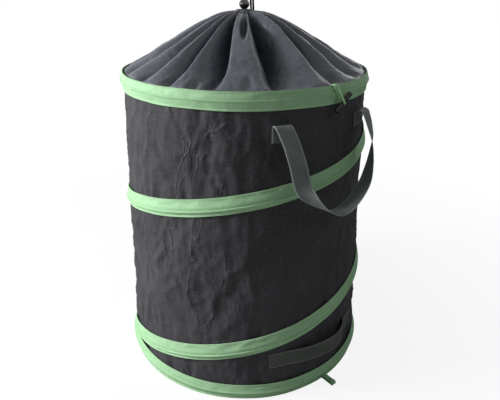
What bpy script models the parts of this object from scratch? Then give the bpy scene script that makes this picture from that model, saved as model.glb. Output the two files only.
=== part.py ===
"""Pop up leaf bag: a fabric drum on a coiled spring wire, with a drawstring cover and webbing handles.

Units are metres and +Z is up. The origin is on the drum's axis, on the ground that the bag stands on.
The carry handle called a, the tipping handle, toggle a and floor loop a are on the +X side.
Angles go round the axis from +X, counter-clockwise seen from above.
"""

import math

import bmesh
import bpy
from mathutils import Matrix, Vector

# Clearances
SEAT_GAP = 0.0003
OVERRUN = 0.004

# Points that a smooth curve is worked out on, from each of its own points to the next
SMOOTH_STEPS = 12

# Drum fabric
WALL_RADIUS = 0.2475
WALL_THICKNESS = 0.0008
PANEL_THICKNESS = 0.0020
PANEL_EDGE_ROUND = 0.0006
FLAT_SIDES = 48

# Spring wire and its crimped ferrules
WIRE_DIAMETER = 0.0032
WIRE_SIDE_RESOLUTION = 1
TOP_HOOP_HEIGHT = 0.583
BOTTOM_HOOP_HEIGHT = 0.0155
FERRULE_WALL = 0.0005
FERRULE_LENGTH = 0.026
FERRULE_FACET = 19
FERRULE_SIDES = 10
HOOP_END_GAP = 0.0010

# Fabric sleeves that hold the wire
SLEEVE_THICKNESS = 0.0008
TOP_SLEEVE_HEIGHT = 0.0340
SPIRAL_SLEEVE_HEIGHT = 0.0340
BOTTOM_SLEEVE_HEIGHT = 0.0300
SLEEVE_MARGIN = 0.0040

# Spiral: height of its middle at each quarter turn, as shares of the way from the bottom hoop to the top hoop
SPIRAL_START_ANGLE = math.radians(-126)
SPIRAL_TURNS = 2
SPIRAL_RISE_SHARES = (0.014, 0.170, 0.327, 0.450, 0.558, 0.684, 0.809, 0.9375, 1.0)

# Cover
COVER_THICKNESS = 0.0008
COVER_SKIRT = 0.0142
COVER_RISE = 0.1130
COVER_NECK_RADIUS = 0.0210
PLEATS = 16
POINTS_PER_PLEAT = 6
PLEAT_DEPTH = 0.0060
PLEAT_UNEVEN_SHARE = 0.25
PLEAT_UNEVEN_TURN = math.radians(132)
# Rows of the cover: share of its rise, share of the way in from the rim to the neck, share of the pleat depth
COVER_ROW_SHARES = (
    (0.00, 0.000, 0.00),
    (0.06, 0.030, 0.00),
    (0.13, 0.088, 0.12),
    (0.30, 0.235, 0.40),
    (0.52, 0.430, 0.75),
    (0.75, 0.640, 1.00),
    (0.90, 0.790, 0.90),
    (0.98, 0.920, 0.60),
    (1.00, 1.000, 0.20),
)

# Hem at the neck, a channel that the drawcord runs in
HEM_RADIUS = 0.0198
HEM_MOUTH_RADIUS = 0.0110
HEM_HEIGHT = 0.0160
HEM_RUFFLE = 0.0007
HEM_POINTS_PER_PLEAT = 3
HEM_ABOVE_COVER = 0.0035

# Drawcord
CORD_DIAMETER = 0.0042
CORD_PITCH = 0.0050
CORD_RING_RADIUS = 0.0145
CORD_SIDE_RESOLUTION = 2
CORD_RING_OPENING = math.radians(40)
CORD_RING_STATIONS = 12
CORD_RING_POINTS = 44
# The way in from the hem's channel to the lock: share of the ring's radius, share of the half opening, share of the climb
CORD_WAY_IN_SHARES = ((1.00, 1.000, 0.00), (0.90, 0.650, 0.03), (0.62, 0.750, 0.14), (0.36, 1.375, 0.42))
TAIL_STEPS = 2
KNOT_RADIUS = 0.0065
KNOT_HEIGHT = 0.0150
KNOT_END_LENGTH = 0.0200
KNOT_SEGMENTS = 12

# Cord lock
LOCK_RADIUS = 0.0105
LOCK_HALF_HEIGHT = 0.0090
LOCK_TURN = math.radians(140)
LOCK_SLOT_LENGTH = 0.0075
LOCK_SEGMENTS = 24
LOCK_LEVEL_SHARES = (-1, -0.82, -0.55, -0.25, 0, 0.25, 0.55, 0.82, 1)
PLUNGER_RADIUS = 0.0063
PLUNGER_TRAVEL = 0.0025
PLUNGER_INNER_WALL = 0.0020
PLUNGER_STANDS_OUT = 0.0035
PLUNGER_DOME = 0.0014
PLUNGER_DOME_INSET = 0.0016
LOCK_END_WALL = 0.0022
SPRING_RADIUS = 0.0027
SPRING_WIRE_DIAMETER = 0.0005
SPRING_TURNS = 3
SPRING_POINTS_PER_TURN = 9
SPRING_POCKET_RADIUS = 0.0033
SLOT_SIDE_CLEARANCE = 0.0003

# Webbing, one width for all the handles
WEBBING_WIDTH = 0.0300
WEBBING_THICKNESS = 0.0014

# Carry handles
CARRY_TAB_ANGLE = math.radians(22)
CARRY_TAB_BELOW_HOOP = 0.0730
CARRY_FOLD_BELOW_HOOP = 0.0405
CARRY_FOLD_RISE = 0.0090
CARRY_FOLD_REACH = 0.0102
CARRY_DROP = 0.1635
CARRY_STAND_OFF = 0.0450
CARRY_SECTIONS = 18
CARRY_FOLD_SECTIONS = 5
# Half of a hanging loop: shares of its drop, of its half span, of its stand-off and of its quarter twist
CARRY_LOOP_SHARES = (
    (0.000, 1.000, 0.000, 0.00),
    (0.022, 1.000, 0.150, 0.00),
    (0.084, 0.990, 0.310, 0.00),
    (0.174, 0.970, 0.490, 0.00),
    (0.293, 0.950, 0.670, 0.02),
    (0.413, 0.910, 0.760, 0.05),
    (0.533, 0.870, 0.800, 0.12),
    (0.653, 0.800, 0.840, 0.26),
    (0.772, 0.660, 0.930, 0.50),
    (0.892, 0.430, 0.980, 0.78),
    (0.982, 0.165, 1.000, 0.97),
    (1.000, 0.000, 1.000, 1.00),
)

# Tipping handle, low on the +X side
TIP_LEFT_ANGLE = math.radians(-25.5)
TIP_RIGHT_ANGLE = math.radians(26)
TIP_TAB_LENGTH = 0.0340
TIP_LEFT_HEIGHT = 0.0795
TIP_RIGHT_HEIGHT = 0.0905
TIP_STAND_OFF = 0.0150
TIP_LIFT_OFF = 0.0062
TIP_SECTIONS = 32
# Its bow: share of the way from one sewn tab to the other, share of the stand-off
TIP_BOW_SHARES = ((0.0, 0.0), (0.12, 0.20), (0.30, 0.56), (0.52, 0.90), (0.72, 1.0), (0.89, 0.54), (1.0, 0.0))

# Toggles and their elastic loops
TOGGLE_LENGTH = 0.0460
TOGGLE_RADIUS = 0.0047
TOGGLE_WAIST_RADIUS = 0.0030
TOGGLE_WAIST_LENGTH = 0.0070
TOGGLE_END_ROUND = 0.0012
TOGGLE_SEGMENTS = 12
TOGGLE_SLOPE = math.radians(40)
TOGGLE_DROP = 0.0310
TOGGLE_SHIFT = 0.0140
ELASTIC_DIAMETER = 0.0026
ELASTIC_ANGLE = math.radians(2)
ELASTIC_TURN_POINTS = 7
ELASTIC_LEVEL_REACH = 0.0042
ELASTIC_POINTS = 26

# Floor loops
FLOOR_LOOP_ANGLE = math.radians(3)
FLOOR_LOOP_WIDTH = 0.0100
FLOOR_LOOP_THICKNESS = 0.0009
FLOOR_LOOP_LENGTH = 0.0280
FLOOR_LOOP_BEND_RADIUS = 0.0030
FLOOR_LOOP_HEIGHT = 0.0075
FLOOR_LOOP_TURN_POINTS = 6

# Derived sizes
WIRE_RADIUS = WIRE_DIAMETER / 2
FERRULE_RADIUS = WIRE_RADIUS + SEAT_GAP + FERRULE_WALL
WIRE_RING_RADIUS = WALL_RADIUS + SEAT_GAP + FERRULE_RADIUS
SLEEVE_INSIDE = WALL_RADIUS + SEAT_GAP
RIM_HEIGHT = TOP_HOOP_HEIGHT + TOP_SLEEVE_HEIGHT / 2
WALL_FOOT = PANEL_THICKNESS + SEAT_GAP
WALL_TOP = RIM_HEIGHT - COVER_SKIRT - SEAT_GAP
COVER_TOP = RIM_HEIGHT + COVER_RISE
HEM_TOP = COVER_TOP + HEM_ABOVE_COVER
HEM_FOOT = HEM_TOP - HEM_HEIGHT
CORD_RADIUS = CORD_DIAMETER / 2
LOCK_HEIGHT = HEM_TOP + SEAT_GAP + HEM_RUFFLE + LOCK_HALF_HEIGHT
LOCK_OUT = Vector((math.cos(LOCK_TURN), math.sin(LOCK_TURN), 0))
CORD_SIDE = Vector((math.sin(LOCK_TURN), -math.cos(LOCK_TURN), 0))
LOCK_CENTRE = Vector((0, 0, LOCK_HEIGHT)) - LOCK_OUT * PLUNGER_TRAVEL / 2
PLUNGER_BORE_RADIUS = PLUNGER_RADIUS + SEAT_GAP
LOCK_SLOT_WIDTH = CORD_PITCH + CORD_DIAMETER + 2 * SLOT_SIDE_CLEARANCE
PLUNGER_INNER_END = PLUNGER_TRAVEL - LOCK_SLOT_LENGTH / 2 - PLUNGER_INNER_WALL
PLUNGER_BORE_END = PLUNGER_INNER_END - PLUNGER_TRAVEL - SEAT_GAP
SPRING_POCKET_END = LOCK_END_WALL - LOCK_RADIUS
WEBBING_RADIUS = WALL_RADIUS + SEAT_GAP + WEBBING_THICKNESS / 2
CARRY_TAB_LOW = TOP_HOOP_HEIGHT - CARRY_TAB_BELOW_HOOP
CARRY_FOLD_HEIGHT = TOP_HOOP_HEIGHT - CARRY_FOLD_BELOW_HOOP
TOGGLE_RADIUS_OUT = (
    WALL_RADIUS + SEAT_GAP + 2 * FERRULE_RADIUS + 2 * SEAT_GAP + SLEEVE_THICKNESS
    + ELASTIC_DIAMETER + 2 * SEAT_GAP + TOGGLE_WAIST_RADIUS
)

# The drawcord's free part, from the top of the lock: distance from the axis, angle in degrees, height.
# Each strand runs half a cord pitch to its own side of this line.
TAIL_ROUTE = (
    (0.0000, 140, 0.7359),
    (0.0000, 140, 0.7420),
    (0.0035, 100, 0.7490),
    (0.0110, 100, 0.7545),
    (0.0205, 106, 0.7525),
    (0.0290, 113, 0.7420),
    (0.0370, 119, 0.7280),
    (0.0500, 125, 0.7195),
    (0.0750, 131, 0.7090),
    (0.1100, 136, 0.6905),
    (0.1500, 139, 0.6670),
    (0.1900, 140, 0.6425),
    (0.2220, 140, 0.6230),
    (0.2440, 140, 0.6100),
    (0.2555, 140, 0.5990),
    (0.2585, 140, 0.5800),
    (0.2583, 140, 0.5300),
    (0.2576, 140, 0.4200),
    (0.2572, 140, 0.2900),
    (0.2570, 140, 0.1550),
)


def clear_scene():
    """Remove every object that the file opened with."""
    for thing in list(bpy.data.objects):
        bpy.data.objects.remove(thing, do_unlink=True)


def material(name, colour, roughness, metallic=0.0):
    """A plain Principled material."""
    made = bpy.data.materials.new(name)
    made.use_nodes = True
    shader = made.node_tree.nodes["Principled BSDF"]
    shader.inputs["Base Color"].default_value = (*colour, 1.0)
    shader.inputs["Roughness"].default_value = roughness
    shader.inputs["Metallic"].default_value = metallic
    return made


def place(name, data, finish, origin=(0, 0, 0)):
    """Put mesh data made in world places into the scene, with its object's origin at a chosen point."""
    origin = Vector(origin)
    data.transform(Matrix.Translation(-origin))
    thing = bpy.data.objects.new(name, data)
    thing.location = origin
    data.materials.append(finish)
    bpy.context.collection.objects.link(thing)
    return thing


def mesh_from(name, shape, smooth_angle=35):
    """Turn a bmesh into mesh data, shaded smooth except at sharp edges."""
    bmesh.ops.recalc_face_normals(shape, faces=shape.faces)
    data = bpy.data.meshes.new(name)
    shape.to_mesh(data)
    shape.free()
    data.shade_smooth()
    data.set_sharp_from_angle(angle=math.radians(smooth_angle))
    return data


def far_side_copy(source, name):
    """The same piece on the other side of the drum, half a turn round its axis, sharing the mesh."""
    thing = bpy.data.objects.new(name, source.data)
    half_turn = Matrix.Rotation(math.pi, 4, "Z")
    thing.matrix_world = half_turn @ source.matrix_basis
    bpy.context.collection.objects.link(thing)
    return thing


def polar(radius, angle, height):
    """A point given round the drum's axis."""
    return Vector((radius * math.cos(angle), radius * math.sin(angle), height))


def on_facet(radius, angle, height):
    """A point on a flat-sided drum whose corners lie at the radius, as the wall and the sleeves have them."""
    half_facet = math.pi / FLAT_SIDES
    past_middle = angle % (2 * half_facet) - half_facet
    return polar(radius * math.cos(half_facet) / math.cos(past_middle), angle, height)


def smooth_through(points, steps):
    """Points along a smooth curve through the given ones, with some steps from each to the next."""
    points = [Vector(p) for p in points]
    ends = [2 * points[0] - points[1], *points, 2 * points[-1] - points[-2]]
    dense = []
    for before, here, there, after in zip(ends, ends[1:], ends[2:], ends[3:]):
        for step in range(steps):
            t = step / steps
            dense.append(
                0.5
                * (
                    2 * here
                    + (there - before) * t
                    + (2 * before - 5 * here + 4 * there - after) * t**2
                    + (3 * here - before - 3 * there + after) * t**3
                )
            )
    dense.append(points[-1])
    return dense


def smooth_route(points, count):
    """Points evenly spaced along a smooth curve that passes through the given ones."""
    dense = smooth_through(points, SMOOTH_STEPS)
    travelled = [0.0]
    for here, there in zip(dense, dense[1:]):
        travelled.append(travelled[-1] + (there - here).length)
    found = []
    index = 0
    for number in range(count):
        wanted = travelled[-1] * number / (count - 1)
        while index < len(dense) - 2 and travelled[index + 1] < wanted:
            index += 1
        share = (wanted - travelled[index]) / (travelled[index + 1] - travelled[index])
        found.append(dense[index].lerp(dense[index + 1], min(max(share, 0.0), 1.0)))
    return found


def between(table, share, column=1):
    """Read a column of a table of shares, whose first column rises, by straight lines."""
    for low, high in zip(table, table[1:]):
        if share <= high[0]:
            part = (share - low[0]) / (high[0] - low[0])
            return low[column] + (high[column] - low[column]) * part
    return table[-1][column]


def loft(rings, run_closed=False):
    """A body through rings of points. Its ends are capped unless the run closes on itself."""
    shape = bmesh.new()
    rows = [[shape.verts.new(point) for point in ring] for ring in rings]
    count = len(rows[0])
    following = rows[1:] + rows[:1] if run_closed else rows[1:]
    for row, other in zip(rows, following):
        for i in range(count):
            j = (i + 1) % count
            shape.faces.new((row[i], row[j], other[j], other[i]))
    if not run_closed:
        shape.faces.new(rows[0])
        shape.faces.new(rows[-1])
    return shape


def tube(name, points, diameter, finish, resolution=WIRE_SIDE_RESOLUTION, origin=(0, 0, 0)):
    """A round cord or wire along points, as a curve with a bevel and filled caps."""
    origin = Vector(origin)
    curve = bpy.data.curves.new(name, "CURVE")
    curve.dimensions = "3D"
    curve.bevel_depth = diameter / 2
    curve.bevel_resolution = resolution
    curve.use_fill_caps = True
    spline = curve.splines.new("POLY")
    spline.points.add(len(points) - 1)
    for target, point in zip(spline.points, points):
        target.co = (*(point - origin), 1.0)
    curve.materials.append(finish)
    thing = bpy.data.objects.new(name, curve)
    thing.location = origin
    bpy.context.collection.objects.link(thing)
    return thing


def ribbon(points, across, width, thickness, ends=None):
    """A strip of webbing along points, with its width along the vector given at each of them.

    Its two ends are cut square to the directions in ends, or else to the strip itself.
    """
    rings = []
    for i, point in enumerate(points):
        ahead = points[min(i + 1, len(points) - 1)] - points[max(i - 1, 0)]
        if ends and i in (0, len(points) - 1):
            ahead = ends[0] if i == 0 else ends[1]
        ahead = ahead.normalized()
        side = (across[i] - ahead * across[i].dot(ahead)).normalized() * width / 2
        up = ahead.cross(side).normalized() * thickness / 2
        rings.append([point + side + up, point - side + up, point - side - up, point + side - up])
    return loft(rings)


def turned(profile, segments, axis, centre):
    """A body turned round an axis, from a profile of (distance along the axis, radius)."""
    turn = Vector(axis).to_track_quat("Z", "Y").to_matrix()
    rings = []
    for along, radius in profile:
        ring = []
        for i in range(segments):
            angle = 2 * math.pi * i / segments
            ring.append(centre + turn @ Vector((radius * math.cos(angle), radius * math.sin(angle), along)))
        rings.append(ring)
    return loft(rings)


def wall_angles():
    """The angles of the drum's corners, which every ring of fabric and wire shares."""
    return [2 * math.pi * i / FLAT_SIDES for i in range(FLAT_SIDES)]


def sleeve_profile(height, pocket_radius):
    """Section of a wire sleeve, as (distance out from the axis, height from its middle): a low tent of fabric."""
    half = height / 2
    foot = half - SLEEVE_MARGIN
    flat = SLEEVE_INSIDE
    ridge = WIRE_RING_RADIUS + pocket_radius + SEAT_GAP
    skin = SLEEVE_THICKNESS
    inner = [(flat, -half), (flat, -foot), (ridge, 0.0), (flat, foot), (flat, half)]
    outer = [(flat + skin, half), (flat + skin, foot), (ridge + skin, 0.0), (flat + skin, -foot), (flat + skin, -half)]
    return inner + outer


def sleeve_face(height, pocket_radius, level):
    """How far out a sleeve's outer face stands at a level above or below its middle."""
    foot = height / 2 - SLEEVE_MARGIN
    flat = SLEEVE_INSIDE + SLEEVE_THICKNESS
    ridge = WIRE_RING_RADIUS + pocket_radius + SEAT_GAP + SLEEVE_THICKNESS
    share = max(0.0, 1 - abs(level) / foot)
    return flat + (ridge - flat) * share


def spiral_height(turn_angle):
    """Height of the spiral's middle after some angle round from its start."""
    quarter = turn_angle / (math.pi / 2)
    table = [(i, share) for i, share in enumerate(SPIRAL_RISE_SHARES)]
    share = between(table, quarter)
    return BOTTOM_HOOP_HEIGHT + share * (TOP_HOOP_HEIGHT - BOTTOM_HOOP_HEIGHT)


def spiral_run():
    """Angles and heights along the part of the spiral that is clear of the two hoop sleeves."""
    lowest = BOTTOM_HOOP_HEIGHT + (BOTTOM_SLEEVE_HEIGHT + SPIRAL_SLEEVE_HEIGHT) / 2 + SEAT_GAP
    highest = TOP_HOOP_HEIGHT - (TOP_SLEEVE_HEIGHT + SPIRAL_SLEEVE_HEIGHT) / 2 - SEAT_GAP
    step = 2 * math.pi / FLAT_SIDES
    first = math.ceil(SPIRAL_START_ANGLE / step)
    run = []
    for i in range(first, first + SPIRAL_TURNS * FLAT_SIDES):
        angle = i * step
        height = spiral_height(angle - SPIRAL_START_ANGLE)
        if lowest <= height <= highest:
            run.append((angle, height))
    return run


def build_drum(fabric, panel_fabric, band_fabric):
    """The base panel, the wall and the three sleeves."""
    panel = bmesh.new()
    bmesh.ops.create_cone(
        panel,
        cap_ends=True,
        segments=FLAT_SIDES,
        radius1=WALL_RADIUS,
        radius2=WALL_RADIUS,
        depth=PANEL_THICKNESS,
        matrix=Matrix.Translation((0, 0, PANEL_THICKNESS / 2)),
    )
    rims = [edge for edge in panel.edges if len(edge.link_faces[0].verts) > 4 or len(edge.link_faces[1].verts) > 4]
    bmesh.ops.bevel(panel, geom=rims, offset=PANEL_EDGE_ROUND, segments=1, affect="EDGES")
    place("base_panel", mesh_from("base_panel", panel), panel_fabric)

    inside = WALL_RADIUS - WALL_THICKNESS
    section = [(inside, WALL_FOOT), (inside, WALL_TOP), (WALL_RADIUS, WALL_TOP), (WALL_RADIUS, WALL_FOOT)]
    rings = [[polar(radius, angle, height) for radius, height in section] for angle in wall_angles()]
    place("wall", mesh_from("wall", loft(rings, run_closed=True)), fabric)

    hoops = (
        ("top_sleeve", TOP_SLEEVE_HEIGHT, TOP_HOOP_HEIGHT),
        ("bottom_sleeve", BOTTOM_SLEEVE_HEIGHT, BOTTOM_HOOP_HEIGHT),
    )
    for name, tall, middle in hoops:
        section = sleeve_profile(tall, FERRULE_RADIUS)
        rings = [[polar(out, angle, middle + up) for out, up in section] for angle in wall_angles()]
        place(name, mesh_from(name, loft(rings, run_closed=True), 20), band_fabric)

    section = sleeve_profile(SPIRAL_SLEEVE_HEIGHT, WIRE_RADIUS)
    rings = [[polar(out, angle, height + up) for out, up in section] for angle, height in spiral_run()]
    place("spiral_sleeve", mesh_from("spiral_sleeve", loft(rings), 20), band_fabric)


def build_wires(steel):
    """The two hoops with their ferrules, and the spiral between them."""
    half_facet = math.pi / FLAT_SIDES
    middle = (2 * FERRULE_FACET + 1) * half_facet
    tangent = polar(1, middle + math.pi / 2, 0)
    for name, height in (("top_hoop", TOP_HOOP_HEIGHT), ("bottom_hoop", BOTTOM_HOOP_HEIGHT)):
        centre = polar(WIRE_RING_RADIUS * math.cos(half_facet), middle, height)
        run = [centre + tangent * HOOP_END_GAP / 2]
        for i in range(FLAT_SIDES):
            run.append(polar(WIRE_RING_RADIUS, middle + (2 * i + 1) * half_facet, height))
        run.append(centre - tangent * HOOP_END_GAP / 2)
        tube(name, run, WIRE_DIAMETER, steel)

        half = FERRULE_LENGTH / 2
        shape = turned([(-half, FERRULE_RADIUS), (half, FERRULE_RADIUS)], FERRULE_SIDES, tangent, centre)
        ends = [face for face in shape.faces if len(face.verts) > 4]
        bmesh.ops.delete(shape, geom=ends, context="FACES_ONLY")
        ferrule = place(name.replace("hoop", "ferrule"), mesh_from(name, shape), steel)
        wall = ferrule.modifiers.new("wall", "SOLIDIFY")
        wall.thickness = FERRULE_WALL
        wall.offset = -1

    run = [polar(WIRE_RING_RADIUS, angle, height) for angle, height in spiral_run()]
    tube("spiral_wire", run, WIRE_DIAMETER, steel)


def cover_height(angle, share):
    """How far a point of the cover stands above its plain cone, from the gathered pleats."""
    number = angle / (2 * math.pi) * PLEATS
    nearest = math.floor(number + 1 / 2)
    uneven = 1 + PLEAT_UNEVEN_SHARE * math.sin(PLEAT_UNEVEN_TURN * nearest)
    return PLEAT_DEPTH * share * uneven * math.cos(2 * math.pi * number)


def build_cover(cloth):
    """The gathered cover and the hem at its neck."""
    shape = bmesh.new()
    columns = PLEATS * POINTS_PER_PLEAT
    outer = WALL_RADIUS
    foot = RIM_HEIGHT - COVER_SKIRT
    rows = [[shape.verts.new(on_facet(outer, 2 * math.pi * i / columns, foot)) for i in range(columns)]]
    for rise, way_in, pleat in COVER_ROW_SHARES:
        radius = outer + (COVER_NECK_RADIUS - outer) * way_in
        row = []
        for i in range(columns):
            angle = 2 * math.pi * i / columns
            height = RIM_HEIGHT + COVER_RISE * rise + cover_height(angle, pleat)
            row.append(shape.verts.new(on_facet(radius, angle, height)))
        rows.append(row)
    for row, other in zip(rows, rows[1:]):
        for i in range(columns):
            j = (i + 1) % columns
            shape.faces.new((row[i], row[j], other[j], other[i]))
    cover = place("cover", mesh_from("cover", shape, 60), cloth)
    skin = cover.modifiers.new("cloth", "SOLIDIFY")
    skin.thickness = COVER_THICKNESS
    skin.offset = -1

    skin = COVER_THICKNESS
    section = [
        (HEM_RADIUS, HEM_FOOT),
        (HEM_RADIUS, HEM_TOP),
        (HEM_MOUTH_RADIUS, HEM_TOP),
        (HEM_MOUTH_RADIUS, HEM_TOP - skin),
        (HEM_RADIUS - skin, HEM_TOP - skin),
        (HEM_RADIUS - skin, HEM_FOOT + skin),
        (HEM_MOUTH_RADIUS, HEM_FOOT + skin),
        (HEM_MOUTH_RADIUS, HEM_FOOT),
    ]
    sides = PLEATS * HEM_POINTS_PER_PLEAT
    rings = []
    for i in range(sides):
        angle = 2 * math.pi * i / sides
        ruffle = HEM_RUFFLE * math.cos(PLEATS * angle)
        rings.append([polar(radius - HEM_RUFFLE + ruffle, angle, height) for radius, height in section])
    place("neck_hem", mesh_from("neck_hem", loft(rings, run_closed=True), 50), cloth)


def build_drawcord(cord):
    """The drawcord: its part in the hem and the lock, its two free strands and their knot."""
    ring_height = HEM_FOOT + COVER_THICKNESS + SEAT_GAP + CORD_RADIUS
    half_pitch = CORD_PITCH / 2
    exit_angle = LOCK_TURN + math.pi
    climb = HEM_TOP - ring_height
    lock_top = LOCK_HEIGHT + LOCK_HALF_HEIGHT
    way_in = []
    for out_share, turn_share, climb_share in CORD_WAY_IN_SHARES:
        way_in.append((CORD_RING_RADIUS * out_share, CORD_RING_OPENING * turn_share, ring_height + climb * climb_share))
    risers = []
    for side in (1, -1):
        up = [CORD_SIDE * half_pitch * side + Vector((0, 0, z)) for z in (HEM_TOP, LOCK_HEIGHT, lock_top)]
        risers.append([polar(out, exit_angle + side * angle, z) for out, angle, z in way_in] + up)
    ring = []
    ring_turn = 2 * (math.pi - CORD_RING_OPENING)
    for i in range(1, CORD_RING_STATIONS):
        angle = exit_angle + CORD_RING_OPENING + ring_turn * i / CORD_RING_STATIONS
        ring.append(polar(CORD_RING_RADIUS, angle, ring_height))
    route = [*reversed(risers[0]), *ring, *risers[1]]
    tube("drawcord_in_hem", smooth_route(route, CORD_RING_POINTS), CORD_DIAMETER, cord)

    ends = []
    for name, side in (("drawcord_tail_left", 1), ("drawcord_tail_right", -1)):
        offset = CORD_SIDE * half_pitch * side
        route = [polar(out, math.radians(degrees), z) + offset for out, degrees, z in TAIL_ROUTE]
        points = smooth_through(route, TAIL_STEPS)
        tube(name, points, CORD_DIAMETER, cord, CORD_SIDE_RESOLUTION)
        ends.append(points[-1])

    top = (ends[0] + ends[1]) / 2 - Vector((0, 0, SEAT_GAP))
    half = KNOT_HEIGHT / 2
    flat = CORD_PITCH / 2 + CORD_RADIUS
    profile = [
        (0.0, flat),
        (-half / 2, KNOT_RADIUS),
        (-half, KNOT_RADIUS),
        (-half * 3 / 2, KNOT_RADIUS),
        (-KNOT_HEIGHT, flat),
        (-KNOT_HEIGHT - CORD_RADIUS, CORD_DIAMETER),
        (-KNOT_HEIGHT - KNOT_END_LENGTH, CORD_DIAMETER),
    ]
    knot = turned(profile, KNOT_SEGMENTS, (0, 0, 1), top)
    place("drawcord_knot", mesh_from("drawcord_knot", knot, 50), cord)


def cutter(name, shape):
    """A hidden body that only cuts others."""
    thing = place(name, mesh_from(name, shape), bpy.data.materials["lock plastic"])
    thing.hide_render = True
    thing.display_type = "WIRE"
    return thing


def cut(thing, tool):
    """Cut one body out of another with a Boolean modifier."""
    step = thing.modifiers.new(tool.name, "BOOLEAN")
    step.operation = "DIFFERENCE"
    step.object = tool


def slot_cutter(name, centre):
    """The upright slot that both strands of cord pass through."""
    shape = bmesh.new()
    turn = Matrix.Rotation(LOCK_TURN, 4, "Z")
    size = Matrix.Diagonal((LOCK_SLOT_LENGTH, LOCK_SLOT_WIDTH, 2 * LOCK_RADIUS + 2 * OVERRUN, 1))
    bmesh.ops.create_cube(shape, size=1, matrix=Matrix.Translation(centre) @ turn @ size)
    return cutter(name, shape)


def build_lock(plastic, steel):
    """The ball cord lock: body, sprung plunger and spring."""
    levels = [LOCK_HALF_HEIGHT * share for share in LOCK_LEVEL_SHARES]
    profile = [(level, math.sqrt(LOCK_RADIUS**2 - level**2)) for level in levels]
    ball = turned(profile, LOCK_SEGMENTS, (0, 0, 1), LOCK_CENTRE)
    body = place("cord_lock_body", mesh_from("cord_lock_body", ball), plastic, LOCK_CENTRE)
    bore = turned(
        [(PLUNGER_BORE_END, PLUNGER_BORE_RADIUS), (LOCK_RADIUS + OVERRUN, PLUNGER_BORE_RADIUS)],
        LOCK_SEGMENTS,
        LOCK_OUT,
        LOCK_CENTRE,
    )
    cut(body, cutter("plunger_bore", bore))
    pocket = turned(
        [(SPRING_POCKET_END, SPRING_POCKET_RADIUS), (PLUNGER_BORE_END + OVERRUN, SPRING_POCKET_RADIUS)],
        LOCK_SEGMENTS // 2,
        LOCK_OUT,
        LOCK_CENTRE,
    )
    cut(body, cutter("spring_pocket", pocket))
    cut(body, slot_cutter("body_slot", LOCK_CENTRE))

    end = LOCK_RADIUS + PLUNGER_STANDS_OUT
    profile = [
        (PLUNGER_INNER_END, PLUNGER_RADIUS),
        (end - PLUNGER_DOME, PLUNGER_RADIUS),
        (end - PLUNGER_DOME / 3, PLUNGER_RADIUS - PLUNGER_DOME_INSET / 2),
        (end, PLUNGER_RADIUS - 2 * PLUNGER_DOME_INSET),
    ]
    button = turned(profile, LOCK_SEGMENTS, LOCK_OUT, LOCK_CENTRE)
    plunger = place("cord_lock_plunger", mesh_from("cord_lock_plunger", button), plastic, LOCK_CENTRE)
    cut(plunger, slot_cutter("plunger_slot", LOCK_CENTRE + LOCK_OUT * PLUNGER_TRAVEL))

    first = SPRING_POCKET_END + SEAT_GAP + SPRING_WIRE_DIAMETER / 2
    last = PLUNGER_INNER_END - SEAT_GAP - SPRING_WIRE_DIAMETER / 2
    up = Vector((0, 0, 1))
    points = []
    for i in range(SPRING_TURNS * SPRING_POINTS_PER_TURN + 1):
        angle = 2 * math.pi * i / SPRING_POINTS_PER_TURN
        along = first + (last - first) * i / (SPRING_TURNS * SPRING_POINTS_PER_TURN)
        ring = CORD_SIDE * math.cos(angle) + up * math.sin(angle)
        points.append(LOCK_CENTRE + LOCK_OUT * along + ring * SPRING_RADIUS)
    tube("cord_lock_spring", points, SPRING_WIRE_DIAMETER, steel, origin=LOCK_CENTRE)


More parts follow.
